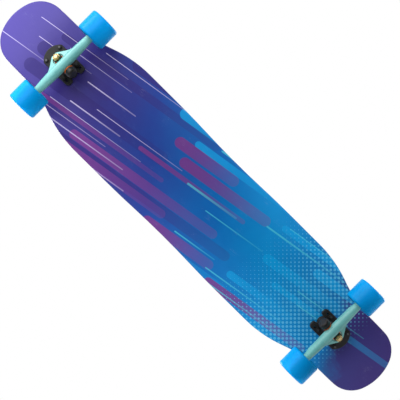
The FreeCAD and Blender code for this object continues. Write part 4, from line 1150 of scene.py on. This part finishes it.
    def make_cup_washer(self) -> None:
        """Cup washer: a disc on the roadside bushing, its domed edge drawn down to a skirt."""
        outer, inner = self.cup_washer_radius, self.cup_washer_radius - self.cup_washer_wall
        skirt = self.road_side - self.cup_washer_skirt
        profile = rounded([
            (self.bore, self.road_side, 0.0),
            (inner, self.road_side, self.cup_washer_wall),
            (inner, skirt, 0.0),
            (outer, skirt, self.cup_washer_hem),
            (outer, self.cup_washer_top, self.cup_washer_dome),
            (self.bore, self.cup_washer_top, 0.0),
        ])
        name = f"{self.end.prefix}_cup_washer"
        piece = revolved(name, profile, self.along(self.kingpin_way))
        add_piece(piece, self.finishes.black)
        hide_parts(f"{self.end.prefix}_roadside_washer")
        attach(piece, "deck")

    def make_nut_insert(self, name: str, body: str, place: Matrix, bore: float,
                        face: float) -> None:
        """Locking ring of nylon that stands a little out of the mouth of a nut.

        Args:
            name: Name of the piece without its end.
            body: Body that carries the nut.
            place: Where the nut's axis starts.
            bore: Inner radius of the ring.
            face: Height of the nut's far face along the axis.
        """
        low, high = face - self.insert_depth, face + self.insert_rise
        profile = rounded([
            (bore, low, 0.0),
            (bore + self.insert_width, low, 0.0),
            (bore + self.insert_width, high, self.insert_round),
            (bore, high, self.insert_round),
        ], steps=4)
        piece = revolved(f"{self.end.prefix}_{name}", profile, place, self.insert_segments)
        add_piece(piece, self.finishes.nylon)
        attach(piece, body)

    def make_nut_inserts(self) -> None:
        """The locking rings of the kingpin nut and of both axle nuts."""
        place = self.along(self.kingpin_way)
        self.make_nut_insert("kingpin_nut_insert", "deck", place, self.nut_bore, self.nut_end)
        x, z = self.end.axle
        for side in Side:
            turn = Matrix.Rotation(-side.value * math.pi / 2, 4, "X")
            self.make_nut_insert(f"{side.label}_axle_nut_insert", f"{self.end.prefix}_hanger",
                                 Matrix.Translation((x, 0, z)) @ turn, self.axle_nut_bore,
                                 self.axle_nut_end)

    def finish(self) -> None:
        """Build the truck's new pieces and dress its CAD nodes."""
        self.make_bushings()
        self.make_pivot_cup()
        self.make_cup_washer()
        self.make_nut_inserts()
        prefix = self.end.prefix
        axle = TurnedMetal(f"{prefix}_axle_steel", Colour(198, 200, 204), Colour(176, 178, 184),
                           0.28, self.end.axle)
        steel, coats = axle.material(), self.finishes
        dress(f"{prefix}_", {
            "riser_pad": coats.rubber, "baseplate": coats.black, "kingpin": coats.gold,
            "boardside_washer": coats.black, "kingpin_nut": coats.gold, "hanger": coats.mint,
            "axle": steel, "axle_nuts": steel, "speed_washers": steel,
            "bearing_spacers": steel, "bearing_inner_rings": steel,
        })


@dataclass
class Wheels:
    """The two wheels of one end with their bearings."""

    end: End
    tint: Colour = Colour(0, 172, 254)
    drift: Colour = Colour(0, 164, 248)
    shield_pitch: float = 0.5 * MM

    def finish(self) -> None:
        """Dress the wheels' CAD nodes."""
        prefix, axle = self.end.prefix, self.end.axle
        blue = Urethane(
            f"{prefix}_blue_pour", self.tint, self.drift, 0.36, glow=0.15, axle=axle)
        core = Moulding(
            f"{prefix}_core_nylon", Colour(226, 232, 238), Colour(208, 216, 226), 0.45,
            grain_scale=1100.0, grain_depth=0.02 * MM)
        cage = Moulding(
            f"{prefix}_cage_nylon", Colour(196, 178, 130), Colour(176, 158, 112), 0.5,
            grain_scale=1500.0, grain_depth=0.02 * MM)
        bearing = TurnedMetal(
            f"{prefix}_bearing_steel", Colour(206, 208, 212), Colour(186, 188, 194), 0.2, axle)
        shield = TurnedMetal(
            f"{prefix}_shield_steel", Colour(184, 186, 190), Colour(164, 166, 172), 0.3, axle,
            self.shield_pitch)
        steel = bearing.material()
        dressed = {
            "tyre": blue.material(), "core": core.material(), "outer_rings": steel,
            "balls": steel, "cages": cage.material(), "shields": shield.material(),
        }
        for side in Side:
            dress(f"{prefix}_{side.label}_", dressed)


@dataclass(frozen=True)
class Lamp:
    """One soft studio panel, aimed at the board's middle."""

    name: str
    spot: tuple[float, float, float]
    size: float
    power: float

    def build(self) -> None:
        """Add the panel to the scene."""
        light = bpy.data.lights.new(self.name, "AREA")
        light.size = self.size
        light.energy = self.power
        lamp = bpy.data.objects.new(self.name, light)
        lamp.location = self.spot
        lamp.rotation_euler = (-Vector(self.spot)).to_track_quat("-Z", "Y").to_euler()
        lamp.visible_camera = False
        bpy.context.scene.collection.objects.link(lamp)


@dataclass
class Studio:
    """Pale floor seen only from above, white surroundings, lamps over and under, and the camera."""

    floor_size: float = 12.0
    floor_near: float = 0.7
    floor_far: float = 2.6
    floor_clouds: float = 2.0
    floor_tones: tuple[Colour, Colour] = (Colour(236, 236, 237), Colour(232, 232, 233))
    ambient: float = 0.42
    lamps: tuple[Lamp, ...] = (
        Lamp("nose_rim", (1.4, 0.1, -0.17), 0.28, 5.0),
        Lamp("under_fill", (1.2, 0.2, -1.3), 1.3, 21.0),
        Lamp("over_key", (0.9, -1.4, 2.0), 1.0, 48.0),
        Lamp("over_fill", (-1.2, 1.2, 2.2), 2.0, 30.0),
    )
    distance: float = 2.2
    nose_shift: float = 0.09
    lens: float = 88.3
    sensor: float = 36.0
    aim: tuple[float, float, float] = (-0.006, 0.0, 0.1)
    heading: float = math.radians(44.8)

    def floor_material(self) -> bpy.types.Material:
        """Pale finish that fades out with the distance from the board, and is clear from below.

        Returns:
            The material.
        """
        material = bpy.data.materials.new("pale_floor")
        material.use_nodes = True
        material.node_tree.nodes.clear()
        graph = Graph(material.node_tree)
        place = graph.place()
        first, second = (tone.linear for tone in self.floor_tones)
        tone = graph.effect(Effect.MOTTLE, {
            "Place": place, "Scale": self.floor_clouds, "First": first, "Second": second})
        top = graph.add("ShaderNodeBsdfDiffuse", {"Color": tone})
        clear = graph.add("ShaderNodeBsdfTransparent")
        behind = graph.add("ShaderNodeNewGeometry").outputs["Backfacing"]
        reach = graph.add("ShaderNodeVectorMath", {0: place}, operation="LENGTH").outputs["Value"]
        faded = graph.math("MAXIMUM", behind, graph.step(reach, self.floor_near, self.floor_far))
        feeds = {0: faded, 1: top.outputs[0], 2: clear.outputs[0]}
        shown = graph.add("ShaderNodeMixShader", feeds)
        graph.add("ShaderNodeOutputMaterial", {"Surface": shown.outputs[0]})
        return material

    def build_floor(self) -> None:
        """Floor plane that casts no shadow, so that the lamps under it light the board.

        The board's large coloured pieces would throw that light back and tint the floor, so they
        are kept out of its diffuse light.
        """
        half = self.floor_size / 2
        corners = [(-half, -half, 0), (half, -half, 0), (half, half, 0), (-half, half, 0)]
        mesh = bpy.data.meshes.new("floor")
        mesh.from_pydata(corners, [], [(0, 1, 2, 3)])
        mesh.materials.append(self.floor_material())
        floor = bpy.data.objects.new("floor", mesh)
        bpy.context.scene.collection.objects.link(floor)
        floor.visible_shadow = False
        for name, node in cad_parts.items():
            if name == "deck" or name.endswith(("tyre", "hanger")):
                node.visible_diffuse = False

    def build_world(self) -> None:
        """White surroundings to the eye and in reflections, and a weaker light on the board."""
        world = bpy.data.worlds.new("studio_white")
        world.use_nodes = True
        world.node_tree.nodes.clear()
        graph = Graph(world.node_tree)
        path = graph.add("ShaderNodeLightPath").outputs
        seen = graph.math("MAXIMUM", path["Is Camera Ray"], path["Is Glossy Ray"])
        seen = graph.math("MAXIMUM", seen, path["Is Transmission Ray"])
        strength = graph.between(seen, self.ambient, 1.0)
        glow = graph.add("ShaderNodeBackground", {"Color": (1, 1, 1, 1), "Strength": strength})
        graph.add("ShaderNodeOutputWorld", {"Surface": glow.outputs[0]})
        bpy.context.scene.world = world

    def build_camera(self) -> None:
        """Camera under the board, a little to the nose's side, with the nose at the upper left."""
        data = bpy.data.cameras.new("camera")
        data.lens = self.lens
        data.sensor_width = self.sensor
        camera = bpy.data.objects.new("camera", data)
        bpy.context.scene.collection.objects.link(camera)
        away = Vector((self.nose_shift, 0, -self.distance))
        back = away.normalized()
        right = Vector((-math.cos(self.heading), math.sin(self.heading), 0))
        right = (right - back * right.dot(back)).normalized()
        turn = Matrix((right, back.cross(right), back)).transposed().to_4x4()
        camera.matrix_world = Matrix.Translation(Vector(self.aim) + away) @ turn
        bpy.context.scene.camera = camera

    def build(self) -> None:
        """Set up the whole studio."""
        self.build_floor()
        self.build_world()
        for lamp in self.lamps:
            lamp.build()
        self.build_camera()
        bpy.context.scene.view_settings.view_transform = "Standard"
        log.info("studio ready")


def main() -> None:
    """Build the looks in order."""
    logging.basicConfig(level=logging.INFO, format="%(name)s %(message)s")
    SharedEffects().build()
    Studio().build()
    finishes = TruckFinishes.build()
    Deck().finish(finishes.black)
    for end in End:
        Truck(end, finishes).finish()
        Wheels(end).finish()


if __name__ == "__main__":
    main()
